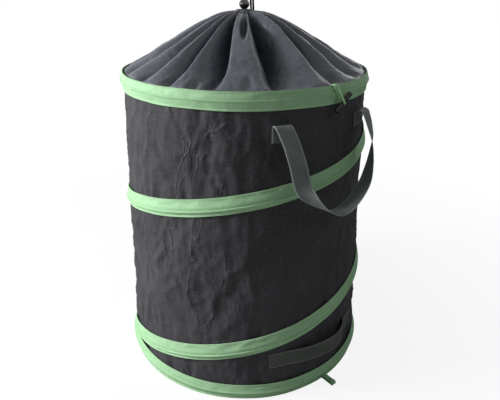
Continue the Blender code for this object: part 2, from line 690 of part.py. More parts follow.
def build_carry_handles(webbing):
    """Two carry handles: each a hanging loop between two tabs that are sewn to the wall."""
    fold_radius = WEBBING_RADIUS + CARRY_FOLD_REACH
    bend_low = CARRY_FOLD_HEIGHT - CARRY_FOLD_RISE
    for side, word in ((-1, "left"), (1, "right")):
        angle = side * CARRY_TAB_ANGLE
        points = [polar(WEBBING_RADIUS, angle, CARRY_TAB_LOW), polar(WEBBING_RADIUS, angle, bend_low)]
        for i in range(1, CARRY_FOLD_SECTIONS + 1):
            turn = math.pi / 2 * i / CARRY_FOLD_SECTIONS
            out = fold_radius - CARRY_FOLD_REACH * math.cos(turn)
            points.append(polar(out, angle, bend_low + CARRY_FOLD_RISE * math.sin(turn)))
        across = [polar(1, angle + math.pi / 2, 0)] * len(points)
        shape = ribbon(points, across, WEBBING_WIDTH, WEBBING_THICKNESS)
        tab = place(f"carry_tab_a_{word}", mesh_from(f"carry_tab_a_{word}", shape), webbing)
        far_side_copy(tab, f"carry_tab_b_{word}")

    hinge_x = fold_radius * math.cos(CARRY_TAB_ANGLE)
    half_span = fold_radius * math.sin(CARRY_TAB_ANGLE)
    half = []
    for drop, span, stand_off, twist in CARRY_LOOP_SHARES:
        out = hinge_x + CARRY_STAND_OFF * stand_off
        half.append((Vector((out, -half_span * span, CARRY_FOLD_HEIGHT - CARRY_DROP * drop)), twist))
    leaving = polar(1, -CARRY_TAB_ANGLE, 0)
    arriving = -polar(1, CARRY_TAB_ANGLE, 0)
    half[0] = (half[0][0] + leaving * SEAT_GAP, 0.0)
    whole = half + [(Vector((p.x, -p.y, p.z)), 2 - twist) for p, twist in reversed(half[:-1])]
    points = smooth_route([p for p, _ in whole], 2 * CARRY_SECTIONS + 1)
    lowest = CARRY_FOLD_HEIGHT - CARRY_DROP
    across = []
    for i, point in enumerate(points):
        drop = (CARRY_FOLD_HEIGHT - max(point.z, lowest)) / CARRY_DROP
        twist = between(CARRY_LOOP_SHARES, drop, 3)
        if i > CARRY_SECTIONS:
            twist = 2 - twist
        heading = CARRY_TAB_ANGLE + (math.pi / 2 - CARRY_TAB_ANGLE) * twist
        across.append(Vector((math.sin(heading), math.cos(heading), 0)))
    shape = ribbon(points, across, WEBBING_WIDTH, WEBBING_THICKNESS, (leaving, arriving))
    hinge = Vector((hinge_x, 0, CARRY_FOLD_HEIGHT))
    loop = place("carry_loop_a", mesh_from("carry_loop_a", shape, 50), webbing, hinge)
    far_side_copy(loop, "carry_loop_b")


def build_tip_handle(webbing):
    """The tipping handle: a low strap that bows out between two sewn tabs, for emptying the bag."""
    tab_turn = TIP_TAB_LENGTH / WEBBING_RADIUS
    first = TIP_LEFT_ANGLE + tab_turn
    last = TIP_RIGHT_ANGLE - tab_turn
    points = []
    for i in range(TIP_SECTIONS + 1):
        angle = TIP_LEFT_ANGLE + (TIP_RIGHT_ANGLE - TIP_LEFT_ANGLE) * i / TIP_SECTIONS
        share = min(max((angle - first) / (last - first), 0.0), 1.0)
        ease = between(TIP_BOW_SHARES, share)
        height = TIP_LEFT_HEIGHT + (TIP_RIGHT_HEIGHT - TIP_LEFT_HEIGHT) * i / TIP_SECTIONS
        points.append(polar(WEBBING_RADIUS + TIP_STAND_OFF * ease, angle, height))
    lifted = [i for i, p in enumerate(points) if p.xy.length > WEBBING_RADIUS + TIP_LIFT_OFF]
    start, stop = lifted[0], lifted[-1]
    along = (points[stop] - points[start]).normalized()
    up = (Vector((0, 0, 1)) - along * along.z).normalized()

    parts = (
        ("tip_tab_left", points[: start + 1]),
        ("tip_strap", points[start : stop + 1]),
        ("tip_tab_right", points[stop:]),
    )
    hinge = (points[start] + points[stop]) / 2 + up * WEBBING_WIDTH / 2
    cuts = [points[i + 1] - points[i - 1] for i in (start, stop)]
    for name, run in parts:
        run = [point.copy() for point in run]
        ends = [run[1] - run[0], run[-1] - run[-2]]
        if name != "tip_tab_left":
            ends[0] = cuts[0] if name == "tip_strap" else cuts[1]
        if name != "tip_tab_right":
            ends[1] = cuts[1] if name == "tip_strap" else cuts[0]
        if name == "tip_strap":
            run[0] += cuts[0].normalized() * SEAT_GAP
            run[-1] -= cuts[1].normalized() * SEAT_GAP
        shape = ribbon(run, [Vector((0, 0, 1))] * len(run), WEBBING_WIDTH, WEBBING_THICKNESS, ends)
        origin = hinge if name == "tip_strap" else (0, 0, 0)
        place(name, mesh_from(name, shape), webbing, origin)


def build_toggles(plastic, elastic):
    """Two bar toggles, each on an elastic loop that hangs from the top sleeve's upper edge."""
    strand_radius = ELASTIC_DIAMETER / 2
    turn_radius = TOGGLE_WAIST_RADIUS + SEAT_GAP + strand_radius
    out = polar(1, ELASTIC_ANGLE, 0)
    along = polar(1, ELASTIC_ANGLE + math.pi / 2, 0)
    up = Vector((0, 0, 1))
    root = out * (SLEEVE_INSIDE + SLEEVE_THICKNESS / 2) + up * (RIM_HEIGHT + SEAT_GAP + strand_radius)
    centre = out * TOGGLE_RADIUS_OUT + along * TOGGLE_SHIFT + up * (RIM_HEIGHT - TOGGLE_DROP)
    bar = along * math.cos(TOGGLE_SLOPE) + up * math.sin(TOGGLE_SLOPE)
    away = (along * math.sin(TOGGLE_SLOPE) - up * math.cos(TOGGLE_SLOPE)).normalized()

    half = TOGGLE_LENGTH / 2
    waist = TOGGLE_WAIST_LENGTH / 2
    small = TOGGLE_RADIUS - TOGGLE_END_ROUND
    profile = [
        (-half, small),
        (-half + TOGGLE_END_ROUND, TOGGLE_RADIUS),
        (-waist - TOGGLE_END_ROUND, TOGGLE_RADIUS),
        (-waist, TOGGLE_WAIST_RADIUS),
        (waist, TOGGLE_WAIST_RADIUS),
        (waist + TOGGLE_END_ROUND, TOGGLE_RADIUS),
        (half - TOGGLE_END_ROUND, TOGGLE_RADIUS),
        (half, small),
    ]
    shape = turned(profile, TOGGLE_SEGMENTS, bar, centre)
    toggle = place("toggle_a", mesh_from("toggle_a", shape), plastic, centre)
    far_side_copy(toggle, "toggle_b")

    bend = []
    for i in range(ELASTIC_TURN_POINTS):
        angle = math.pi * i / (ELASTIC_TURN_POINTS - 1)
        bend.append(centre + turn_radius * (out * math.cos(angle) + away * math.sin(angle)))
    side = along * strand_radius
    apart = SEAT_GAP / 2
    shoulder = out * (TOGGLE_RADIUS_OUT - turn_radius)
    knee = shoulder + along * TOGGLE_SHIFT / 4 + up * (RIM_HEIGHT - TOGGLE_DROP / 4)
    lean = along * (strand_radius + apart)
    half_way = knee.lerp(centre, 1 / 2)
    crest = root + out * ELASTIC_LEVEL_REACH
    front = [root + lean, crest + lean, knee + lean + out * strand_radius, half_way + out * turn_radius / 2 + side]
    back = [half_way - out * turn_radius / 2 - side, knee - lean, crest - lean, root - lean]
    back[0] = back[0] + out * (shoulder.length - back[0].dot(out))
    points = smooth_route([*front, *bend, *back], ELASTIC_POINTS)
    loop = tube("toggle_loop_a", points, ELASTIC_DIAMETER, elastic, origin=root)
    far_side_copy(loop, "toggle_loop_b")


def build_floor_loops(band_fabric):
    """Two flat loops at the foot of the drum, which the toggles go through when the bag is pressed flat."""
    out = polar(1, FLOOR_LOOP_ANGLE, 0)
    along = polar(1, FLOOR_LOOP_ANGLE + math.pi / 2, 0)
    up = Vector((0, 0, 1))
    bend = FLOOR_LOOP_BEND_RADIUS
    half_skin = FLOOR_LOOP_THICKNESS / 2
    low, high = FLOOR_LOOP_HEIGHT - bend, FLOOR_LOOP_HEIGHT + bend

    def sewn_to(height):
        """Where a layer of the loop meets the sleeve."""
        nearest = abs(height + half_skin - BOTTOM_HOOP_HEIGHT)
        return sleeve_face(BOTTOM_SLEEVE_HEIGHT, FERRULE_RADIUS, nearest) + SEAT_GAP

    tip = sewn_to(high) + FLOOR_LOOP_LENGTH - bend
    points = [out * sewn_to(low) + up * low]
    for i in range(FLOOR_LOOP_TURN_POINTS + 1):
        angle = math.pi * i / FLOOR_LOOP_TURN_POINTS
        points.append(out * (tip + bend * math.sin(angle)) + up * (FLOOR_LOOP_HEIGHT - bend * math.cos(angle)))
    points.append(out * sewn_to(high) + up * high)
    shape = ribbon(points, [along] * len(points), FLOOR_LOOP_WIDTH, FLOOR_LOOP_THICKNESS)
    hinge = out * sewn_to(high) + up * high
    loop = place("floor_loop_a", mesh_from("floor_loop_a", shape), band_fabric, hinge)
    far_side_copy(loop, "floor_loop_b")


def main():
    """Build the whole bag."""
    clear_scene()
    wall_cloth = material("wall cloth", (0.020, 0.019, 0.022), 0.75)
    panel_cloth = material("panel cloth", (0.018, 0.018, 0.020), 0.80)
    band_cloth = material("band cloth", (0.20, 0.47, 0.22), 0.70)
    cover_cloth = material("cover cloth", (0.060, 0.060, 0.068), 0.45)
    webbing = material("webbing", (0.045, 0.055, 0.050), 0.80)
    elastic = material("elastic", (0.33, 0.72, 0.36), 0.65)
    cord = material("cord", (0.015, 0.015, 0.016), 0.70)
    plastic = material("lock plastic", (0.010, 0.010, 0.011), 0.25)
    toggle_plastic = material("toggle plastic", (0.012, 0.012, 0.013), 0.35)
    steel = material("spring steel", (0.55, 0.55, 0.57), 0.35, 1.0)
    build_drum(wall_cloth, panel_cloth, band_cloth)
    build_wires(steel)
    build_cover(cover_cloth)
    build_drawcord(cord)
    build_lock(plastic, steel)
    build_carry_handles(webbing)
    build_tip_handle(webbing)
    build_toggles(toggle_plastic, elastic)
    build_floor_loops(band_cloth)


main()
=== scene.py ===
"""Looks of the pop up leaf bag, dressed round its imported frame.

Metres, +Z up, in the frame of the CAD. Angles go round the drum's axis from +X, counter-clockwise from above.
"""
import logging
import math
from collections.abc import Callable, Sequence
from dataclasses import dataclass, field
from enum import Enum

import bmesh
import bpy
from mathutils import Matrix, Vector, noise


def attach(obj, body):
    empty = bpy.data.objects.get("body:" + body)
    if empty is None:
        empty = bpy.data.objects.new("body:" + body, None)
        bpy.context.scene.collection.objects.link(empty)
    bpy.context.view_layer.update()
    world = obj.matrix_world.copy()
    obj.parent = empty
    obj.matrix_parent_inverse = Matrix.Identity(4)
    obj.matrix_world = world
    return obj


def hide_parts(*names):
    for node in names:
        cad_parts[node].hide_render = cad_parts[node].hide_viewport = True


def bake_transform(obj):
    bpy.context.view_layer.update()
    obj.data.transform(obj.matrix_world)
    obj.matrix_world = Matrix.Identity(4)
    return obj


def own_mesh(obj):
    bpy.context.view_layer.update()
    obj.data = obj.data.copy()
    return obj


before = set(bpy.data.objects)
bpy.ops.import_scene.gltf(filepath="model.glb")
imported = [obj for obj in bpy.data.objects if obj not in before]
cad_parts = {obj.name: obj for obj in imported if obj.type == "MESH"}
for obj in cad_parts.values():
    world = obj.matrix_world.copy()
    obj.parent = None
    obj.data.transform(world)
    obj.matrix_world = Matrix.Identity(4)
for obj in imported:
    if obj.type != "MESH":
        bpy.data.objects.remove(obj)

log = logging.getLogger("leaf_bag")
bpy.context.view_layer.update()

Section = Sequence[tuple[float, float]]
Table = tuple[tuple[float, ...], ...]
Colour = tuple[float, float, float]
Thing = bpy.types.Object
Material = bpy.types.Material
Socket = bpy.types.NodeSocket
Sockets = bpy.types.bpy_prop_collection
Facing = Callable[[Vector], Vector]
# Angles round the drum, each with a height
Run = Sequence[tuple[float, float]]

UP = Vector((0, 0, 1))
FULL_TURN = 2 * math.pi

# The frame's own sizes, as the CAD has them
WALL_RADIUS = 0.2475
TOP_HOOP_HEIGHT = 0.583
BOTTOM_HOOP_HEIGHT = 0.0155
RIM_HEIGHT = 0.600
HEM_FOOT = 0.7005
HEM_TOP = 0.7165
LOCK_HEIGHT = 0.7265
SEAT_GAP = 0.0003
CLOTH_THICKNESS = 0.0008
BAND_RADIUS = WALL_RADIUS + SEAT_GAP
TAB_ANGLE = math.radians(22)
BAR_CENTRE = Vector((0.259553, 0.023072, 0.569))

# The camera's side of the drum
FACING = math.radians(-36)


class Slot(Enum):
    """Material slots of the record."""

    WALL = "wall_fabric"
    PANEL = "panel_fabric"
    BAND = "band_fabric"
    COVER = "cover_fabric"
    WEBBING = "webbing"
    ELASTIC = "elastic"
    CORD = "cord"
    TOGGLE = "toggle_plastic"
    STEEL = "spring_steel"


class Side(Enum):
    """The two like sides of the bag: a is on +X, b is half a turn round."""

    A = "a"
    B = "b"

    @property
    def turn(self) -> Matrix:
        """The turn that takes a piece of side a to this side."""
        return Matrix.Rotation(0.0 if self is Side.A else math.pi, 4, "Z")


# Small helpers


def polar(radius: float, angle: float, height: float = 0.0) -> Vector:
    """A point given round the drum's axis."""
    return Vector((radius * math.cos(angle), radius * math.sin(angle), height))


def radial(point: Vector) -> Vector:
    """The way straight out from the drum's axis."""
    return Vector((point.x, point.y, 0.0)).normalized()


def mix(low: float, high: float, share: float) -> float:
    """The value some share of the way from low to high."""
    return low + (high - low) * share


def held_in(value: float, low: float = 0.0, high: float = 1.0) -> float:
    """A value kept between two others."""
    return min(max(value, low), high)


def eased(share: float) -> float:
    """A share from 0 to 1 that leaves and arrives gently."""
    share = held_in(share)
    return share * share * (3 - 2 * share)


def read_table(table: Table, at: float, column: int = 1) -> float:
    """Read a column of a table, whose first column rises, by a smooth curve through its rows.

    Args:
        table: Rows of numbers, the first of each being where the row stands.
        at: Where to read.
        column: Which number of the rows to read.

    Returns:
        The value there.
    """
    if at <= table[0][0]:
        return table[0][column]
    for index, (here, there) in enumerate(zip(table, table[1:])):
        if at <= there[0]:
            before = table[max(index - 1, 0)]
            after = table[min(index + 2, len(table) - 1)]
            width = there[0] - here[0]
            t = (at - here[0]) / width
            leaving = (there[column] - before[column]) / (there[0] - before[0]) * width
            arriving = (after[column] - here[column]) / (after[0] - here[0]) * width
            start = (2 * t**3 - 3 * t**2 + 1) * here[column] + (t**3 - 2 * t**2 + t) * leaving
            return start + (3 * t**2 - 2 * t**3) * there[column] + (t**3 - t**2) * arriving
    return table[-1][column]


def smooth_through(points: Sequence[Vector], steps: int) -> list[Vector]:
    """Points along a smooth curve through the given ones, in some steps from each to the next."""
    ends = [2 * points[0] - points[1], *points, 2 * points[-1] - points[-2]]
    dense = []
    for before, here, there, after in zip(ends, ends[1:], ends[2:], ends[3:]):
        for step in range(steps):
            t = step / steps
            curve = 2 * here + (there - before) * t
            curve += (2 * before - 5 * here + 4 * there - after) * t**2
            curve += (3 * here - before - 3 * there + after) * t**3
            dense.append(curve / 2)
    return [*dense, points[-1].copy()]


def length_of(points: Sequence[Vector]) -> float:
    """The length of a line of points."""
    return sum((there - here).length for here, there in zip(points, points[1:]))


def evenly(points: Sequence[Vector], count: int, carried: Sequence[Vector] = ()) -> list[Vector]:
    """Points evenly spaced along a line of points.

    Args:
        points: The line.
        count: How many points to return.
        carried: Other values at the line's points, to be read in place of the points.

    Returns:
        The evenly spaced points, or the values there.
    """
    travelled = [0.0]
    for here, there in zip(points, points[1:]):
        travelled.append(travelled[-1] + (there - here).length)
    values = carried or points
    found = []
    index = 0
    for number in range(count):
        wanted = travelled[-1] * number / (count - 1)
        while index < len(points) - 2 and travelled[index + 1] < wanted:
            index += 1
        step = max(travelled[index + 1] - travelled[index], 1e-9)
        found.append(values[index].lerp(values[index + 1], held_in((wanted - travelled[index]) / step)))
    return found


def station(centre: Vector, along: Vector, across: Vector) -> Matrix:
    """The place of one section on a swept piece, as columns across, face, along and centre."""
    along = along.normalized()
    across = (across - along * across.dot(along)).normalized()
    made = Matrix((across, along.cross(across), along)).transposed().to_4x4()
    made.translation = centre
    return made


def headings(points: Sequence[Vector]) -> list[Vector]:
    """The way that a line of points runs at each of them."""
    last = len(points) - 1
    return [points[min(i + 1, last)] - points[max(i - 1, 0)] for i in range(len(points))]


def stations_along(points: Sequence[Vector], across: Sequence[Vector]) -> list[Matrix]:
    """Stations at points, with the width along the vector given at each."""
    return [station(*place) for place in zip(points, headings(points), across)]


def cord_stations(points: Sequence[Vector]) -> list[Matrix]:
    """Stations along a round cord, that turn as little as they can."""
    across = Vector((0.31, 0.95, 0.05))
    sides = []
    for heading in headings(points):
        ahead = heading.normalized()
        across = (across - ahead * across.dot(ahead)).normalized()
        sides.append(across.copy())
    return stations_along(points, sides)


def rings_round(run: Run) -> list[Matrix]:
    """Stations round the drum, whose sections are given as up and out from the axis."""
    found = []
    for angle, height in run:
        out = polar(1, angle)
        made = Matrix((UP, out, UP.cross(out))).transposed().to_4x4()
        made.translation = UP * height
        found.append(made)
    return found


def round_section(radius: float, corners: int = 12) -> list[tuple[float, float]]:
    """The section of a round cord."""
    turns = [FULL_TURN * i / corners for i in range(corners)]
    return [(radius * math.cos(turn), radius * math.sin(turn)) for turn in turns]


def strap_section(width: float, thickness: float, selvage: float = 0.2, corners: int = 9) -> Section:
    """The section of a woven strap: flat, with a slightly thicker selvage and rounded edges.

    Args:
        width: The strap's width.
        thickness: Its thickness.
        selvage: How much thicker it is near its edges, as a share.
        corners: Points on each face.

    Returns:
        The closed section.
    """
    upper = []
    for index in range(corners):
        out = -math.cos(math.pi * index / (corners - 1))
        near_edge = max(0.0, (abs(out) - 0.72) / 0.28)
        half = thickness / 2 * (1 + selvage * math.sin(math.pi * min(near_edge * 1.4, 1.0)))
        upper.append((out * width / 2, thickness * 0.24 if index in (0, corners - 1) else half))
    return upper + [(across, -half) for across, half in reversed(upper)]


def new_verts(made: dict) -> list[bmesh.types.BMVert]:
    """The vertices among what an operator made."""
    return [item for item in made["geom"] if isinstance(item, bmesh.types.BMVert)]


def edges_among(items: Sequence, verts: Sequence[bmesh.types.BMVert]) -> list[bmesh.types.BMEdge]:
    """The edges among some items whose ends are both among the vertices."""
    ends = set(verts)
    return [item for item in items if isinstance(item, bmesh.types.BMEdge) and ends.issuperset(item.verts)]


class Shape:
    """A mesh in the making, as a bmesh that keeps where its points stand on their section and their run."""

    def __init__(self) -> None:
        """Start with nothing."""
        self.bm = bmesh.new()
        self.corner = self.bm.verts.layers.int.new("corner")
        self.step = self.bm.verts.layers.int.new("step")
        self.uv = self.bm.loops.layers.uv.new("UVMap")

    def sweep(
        self, section: Section | Callable[[int], Section], stations: Sequence[Matrix], closes: bool = False
    ) -> "Shape":
        """Draw a closed section along stations by extruding it from each to the next.

        Args:
            section: The section as (across, face) pairs, or what gives it at a numbered station.
            stations: The places of the sections.
            closes: Whether the run comes back to its first station.

        Returns:
            This shape.
        """
        bm = self.bm
        section_at = section if callable(section) else lambda _: section
        run = [*stations, stations[0]] if closes else list(stations)
        old_faces = set(bm.faces)
        first = section_at(0)
        ring = row = bmesh.ops.create_circle(bm, segments=len(first), radius=1.0)["verts"]
        for index, vert in enumerate(ring):
            vert[self.corner] = index
        edges = first_edges = edges_among(bm.edges, ring)
        perimeter = [0.0]
        for here, there in zip(first, [*first[1:], first[0]]):
            perimeter.append(perimeter[-1] + math.dist(here, there))
        travelled = [0.0]
        for number, place in enumerate(run):
            if number:
                made = bmesh.ops.extrude_edge_only(bm, edges=edges)
                row = new_verts(made)
                edges = edges_among(made["geom"], row)
                travelled.append(travelled[-1] + (place.translation - run[number - 1].translation).length)
            shape = section_at(number % len(stations))
            for vert in row:
                vert[self.step] = number
                vert.co = place @ Vector((*shape[vert[self.corner]], 0.0))
        self.unwrap(old_faces, perimeter, travelled)
        if closes:
            bmesh.ops.remove_doubles(bm, verts=[*ring, *row], dist=1e-6)
        else:
            bmesh.ops.holes_fill(bm, edges=[*first_edges, *edges], sides=0)
        return self

    def unwrap(self, old_faces: set, perimeter: Sequence[float], travelled: Sequence[float]) -> None:
        """Give the new faces a UV place in metres: along the run, and round the section."""
        corners = len(perimeter) - 1
        for face in set(self.bm.faces) - old_faces:
            numbers = [loop.vert[self.corner] for loop in face.loops]
            wraps = max(numbers) - min(numbers) > corners // 2
            for loop, number in zip(face.loops, numbers):
                round_section_to = perimeter[corners if wraps and number == 0 else number]
                loop[self.uv].uv = (travelled[loop.vert[self.step]], round_section_to)

    def turn_round(self, profile: Section, steps: int) -> "Shape":
        """Turn a profile of (along, out) pairs right round its own Z axis."""
        verts = [self.bm.verts.new((reach, 0.0, along)) for along, reach in profile]
        edges = [self.bm.edges.new(pair) for pair in zip(verts, verts[1:])]
        bmesh.ops.spin(
            self.bm, geom=verts + edges, cent=(0, 0, 0), axis=(0, 0, 1), dvec=(0, 0, 0), angle=FULL_TURN,
            steps=steps, use_merge=True, use_normal_flip=False, use_duplicate=False,
        )
        bmesh.ops.remove_doubles(self.bm, verts=self.bm.verts, dist=1e-6)
        for face in self.bm.faces:
            for loop in face.loops:
                loop[self.uv].uv = loop.vert.co.xy
        return self

    def tube(
        self, columns: int, rows: int, length: float, place: Callable[[float, float], Vector]
    ) -> "Shape":
        """Make a tube of cloth, open at both ends, from a circle that is extruded and cut into rows.

        Args:
            columns: How many columns go round it.
            rows: How many rows go up it.
            length: The cloth's length, for its UV map in metres.
            place: Gives the point at an angle and at a share of the way up.

        Returns:
            This shape.
        """
        bm = self.bm
        bmesh.ops.create_circle(bm, segments=columns, radius=1.0)
        bmesh.ops.translate(bm, vec=UP, verts=new_verts(bmesh.ops.extrude_edge_only(bm, edges=bm.edges[:])))
        upright = [edge for edge in bm.edges if abs(edge.verts[0].co.z - edge.verts[1].co.z) > 0.5]
        bmesh.ops.subdivide_edges(bm, edges=upright, cuts=rows - 1, use_grid_fill=True)
        for face in bm.faces:
            angles = [math.atan2(loop.vert.co.y, loop.vert.co.x) for loop in face.loops]
            wraps = max(angles) - min(angles) > math.pi
            for loop, angle in zip(face.loops, angles):
                turned = angle + FULL_TURN if wraps and angle < 0 else angle
                loop[self.uv].uv = (turned * WALL_RADIUS, loop.vert.co.z * length)
        for vert in bm.verts:
            vert.co = place(math.atan2(vert.co.y, vert.co.x), vert.co.z)
        return self

    def piece(self, name: str, smooth_angle: float = 45.0, turn: Matrix | None = None) -> Thing:
        """Close the shape and make it an object, at the origin, with its place in its mesh.

        Args:
            name: The object's name.
            smooth_angle: Edges sharper than this stay sharp, in degrees.
            turn: A turn to give the mesh, for the far side's copy.

        Returns:
            The object.
        """
        bmesh.ops.recalc_face_normals(self.bm, faces=self.bm.faces)
        if turn is not None:
            bmesh.ops.transform(self.bm, matrix=turn, verts=self.bm.verts)
        data = bpy.data.meshes.new(name)
        self.bm.to_mesh(data)
        self.bm.free()
        data.shade_smooth()
        data.set_sharp_from_angle(angle=math.radians(smooth_angle))
        return in_scene(name, data)

    def cloth(self, name: str, thickness: float) -> Thing:
        """Make the shape an object of cloth, thick on its inner side."""
        made = self.piece(name, 180.0)
        skin = made.modifiers.new("cloth", "SOLIDIFY")
        skin.thickness = thickness
        skin.offset = -1
        return made


def in_scene(name: str, data: bpy.types.ID) -> Thing:
    """Put a mesh, a lamp or a camera in the scene, at the origin."""
    made = bpy.data.objects.new(name, data)
    bpy.context.scene.collection.objects.link(made)
    return made


@dataclass(frozen=True)
class Press:
    """A soft piece's level along the axis, for when the bag is pressed down."""

    level: float = 0.0

    def apply(self, piece: Thing) -> None:
        """Give the piece its own copy of its mesh."""
        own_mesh(piece)


ON_BASE = Press(0.0)
ON_RIM = Press(TOP_HOOP_HEIGHT)


@dataclass(frozen=True)
class Bridge:
    """The stretch over which a piece goes from one body to another."""

    first: str
    second: str
    start: Vector
    end: Vector

    def apply(self, piece: Thing) -> None:
        """Bake the piece's place into its mesh."""
        tuple(self.start)
        tuple(self.end)
        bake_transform(piece)


def dress(
    piece: Thing, finish: Material, slot: Slot, body: str | Bridge,
    stands_for: str = "", press: Press | None = None,
) -> Thing:
    """Give a piece its finish, and tie it to the frame.

    Args:
        piece: The finished object.
        finish: Its material.
        slot: The record's slot that the material belongs to; not used.
        body: The body that it moves with, or the bridge between two.
        stands_for: The CAD node that it is shown in place of.
        press: Its level for when the bag is pressed down, if it has one.

    Returns:
        The same object.
    """
    piece.data.materials.append(finish)
    if isinstance(body, Bridge):
        body.apply(piece)
    else:
        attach(piece, body)
    if stands_for:
        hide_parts(stands_for)
    if press:
        press.apply(piece)
    log.info("%s: %d faces, on %s", piece.name, len(piece.data.polygons), body)
    return piece


# Finishes


class Tree:
    """Adds nodes to a node tree and joins them."""

    def __init__(self, tree: bpy.types.NodeTree) -> None:
        """Work on one tree."""
        self.tree = tree

    def put(self, source: object, target: Socket) -> None:
        """Link a socket to another, or set the other to a plain value."""
        if isinstance(source, Socket):
            self.tree.links.new(source, target)
        else:
            target.default_value = source

    def add(self, kind: str, given: dict[str | int, object], **settings: object) -> Sockets:
        """Add a node and feed it.

        Args:
            kind: The shader node's type.
            given: What goes into its inputs, as sockets or plain values.
            settings: Its properties.

        Returns:
            Its outputs.
        """
        node = self.tree.nodes.new(f"ShaderNode{kind}")
        for key, value in settings.items():
            setattr(node, key, value)
        for key, value in given.items():
            self.put(value, node.inputs[key])
        return node.outputs

    def math(self, operation: str, *values: object) -> Socket:
        """A Math node's result."""
        return self.add("Math", dict(enumerate(values)), operation=operation)[0]

    def blend(self, share: object, first: object, second: object) -> Socket:
        """A colour some share of the way from the first to the second."""
        return self.add("Mix", {0: share, 6: first, 7: second}, data_type="RGBA")[2]

    def ranged(
        self, value: object, low: float, high: float, out_low: float = 0.0, out_high: float = 1.0
    ) -> Socket:
        """A value moved from one range to another, and held within it."""
        return self.add("MapRange", {0: value, 1: low, 2: high, 3: out_low, 4: out_high})["Result"]

    def noise(self, place: Socket, scale: object, detail: float = 2.0) -> Socket:
        """A soft cloud's value."""
        return self.add("TexNoise", {"Vector": place, "Scale": scale, "Detail": detail})["Fac"]

    def bump(self, height: Socket, strength: float, distance: float, under: Socket | None = None) -> Socket:
        """The normal over a height, on top of another normal if there is one."""
        given = {"Height": height, "Strength": strength, "Distance": distance}
        if under:
            given["Normal"] = under
        return self.add("Bump", given)["Normal"]


def new_group(name: str, given: dict[str, float | None], outputs: Sequence[str]) -> tuple[Tree, dict, dict]:
    """Start a shader node group.

    Args:
        name: The group's name.
        given: Its inputs: a number for a value, None for a vector.
        outputs: The names of its outputs, all plain values.

    Returns:
        The tree, its input sockets by name, and its output sockets by name.
    """
    made = bpy.data.node_groups.new(name, "ShaderNodeTree")
    for label, default in given.items():
        kind = "NodeSocketVector" if default is None else "NodeSocketFloat"
        socket = made.interface.new_socket(label, in_out="INPUT", socket_type=kind)
        if default is not None:
            socket.default_value = default
    for label in outputs:
        made.interface.new_socket(label, in_out="OUTPUT", socket_type="NodeSocketFloat")
    entry, leave = made.nodes.new("NodeGroupInput"), made.nodes.new("NodeGroupOutput")
    return Tree(made), {s.name: s for s in entry.outputs}, {s.name: s for s in leave.inputs}


def weave_group() -> bpy.types.NodeTree:
    """Plain weave on a UV map in metres: threads that go over and under, and a streaky thread thickness."""
    tree, given, made = new_group("plain weave", {"Place": None, "Pitch": 0.0008}, ("Height", "Streak"))
    parts = tree.add("SeparateXYZ", {0: given["Place"]})
    turns = tree.math("DIVIDE", math.pi, given["Pitch"])
    warp, weft = (tree.math("SINE", tree.math("MULTIPLY", parts[axis], turns)) for axis in "XY")
    tree.put(tree.math("MULTIPLY_ADD", tree.math("MULTIPLY", warp, weft), 0.5, 0.5), made["Height"])
    total = tree.math("MULTIPLY", tree.noise(given["Place"], 420.0), 0.8)
    for stretch in ((900.0, 30.0, 1.0), (30.0, 900.0, 1.0)):
        stretched = tree.add("Mapping", {"Vector": given["Place"], "Scale": stretch})[0]
        total = tree.math("ADD", total, tree.noise(stretched, 1.0))
    tree.put(tree.ranged(total, 1.15, 1.65), made["Streak"])
    return tree.tree


def crumple_group() -> bpy.types.NodeTree:
    """Fine creases of stiff cloth: broken sharp ridges over shallow facets and soft folds, and the ridge
    lines alone for a painted highlight.
    """
    tree, given, made = new_group("fine creases", {"Place": None, "Scale": 20.0}, ("Height", "Ridge highlight"))

    def scaled(share: float) -> Socket:
        return tree.math("MULTIPLY", given["Scale"], share)

    bent = tree.add("TexNoise", {"Vector": given["Place"], "Scale": scaled(0.7)})["Color"]
    swayed = tree.add("Mix", {0: 0.07, 4: given["Place"], 5: bent}, data_type="VECTOR")[1]
    lines, facets = [], []
    for share, size in ((1.0, 0.045), (2.3, 0.07)):
        cells = {"Vector": swayed, "Scale": scaled(share)}
        away = tree.add("TexVoronoi", cells, feature="DISTANCE_TO_EDGE")["Distance"]
        lines.append(tree.ranged(away, 0.0, size, 1.0, 0.0))
        facets.append(tree.math("MULTIPLY", away, -0.6 / share))
    mask = tree.ranged(tree.noise(given["Place"], scaled(1.5)), 0.50, 0.64)
    ridge = tree.math("MULTIPLY", tree.math("MULTIPLY_ADD", lines[1], 0.45, lines[0]), mask)
    folds = tree.add(
        "TexNoise",
        {"Vector": given["Place"], "Scale": scaled(1.8), "Detail": 4.0, "Roughness": 0.55, "Distortion": 0.3},
        noise_type="RIDGED_MULTIFRACTAL",
    )["Fac"]
    height = tree.math("MULTIPLY_ADD", ridge, 0.26, tree.math("ADD", *facets))
    tree.put(tree.math("MULTIPLY_ADD", folds, 0.40, height), made["Height"])
    # The ridge lines alone, for a painted highlight along the creases
    tree.put(tree.math("MINIMUM", ridge, 1.0), made["Ridge highlight"])
    return tree.tree


def patch_group() -> bpy.types.NodeTree:
    """Broad uneven patches, for a slight change of tone."""
    tree, given, made = new_group("uneven tone", {"Place": None, "Scale": 8.0}, ("Share",))
    tree.put(tree.ranged(tree.noise(given["Place"], given["Scale"], 4.0), 0.3, 0.7), made["Share"])
    return tree.tree


class Effect(Enum):
    """The node groups that the finishes share."""

    WEAVE = "plain weave"
    CREASES = "fine creases"
    PATCHES = "uneven tone"


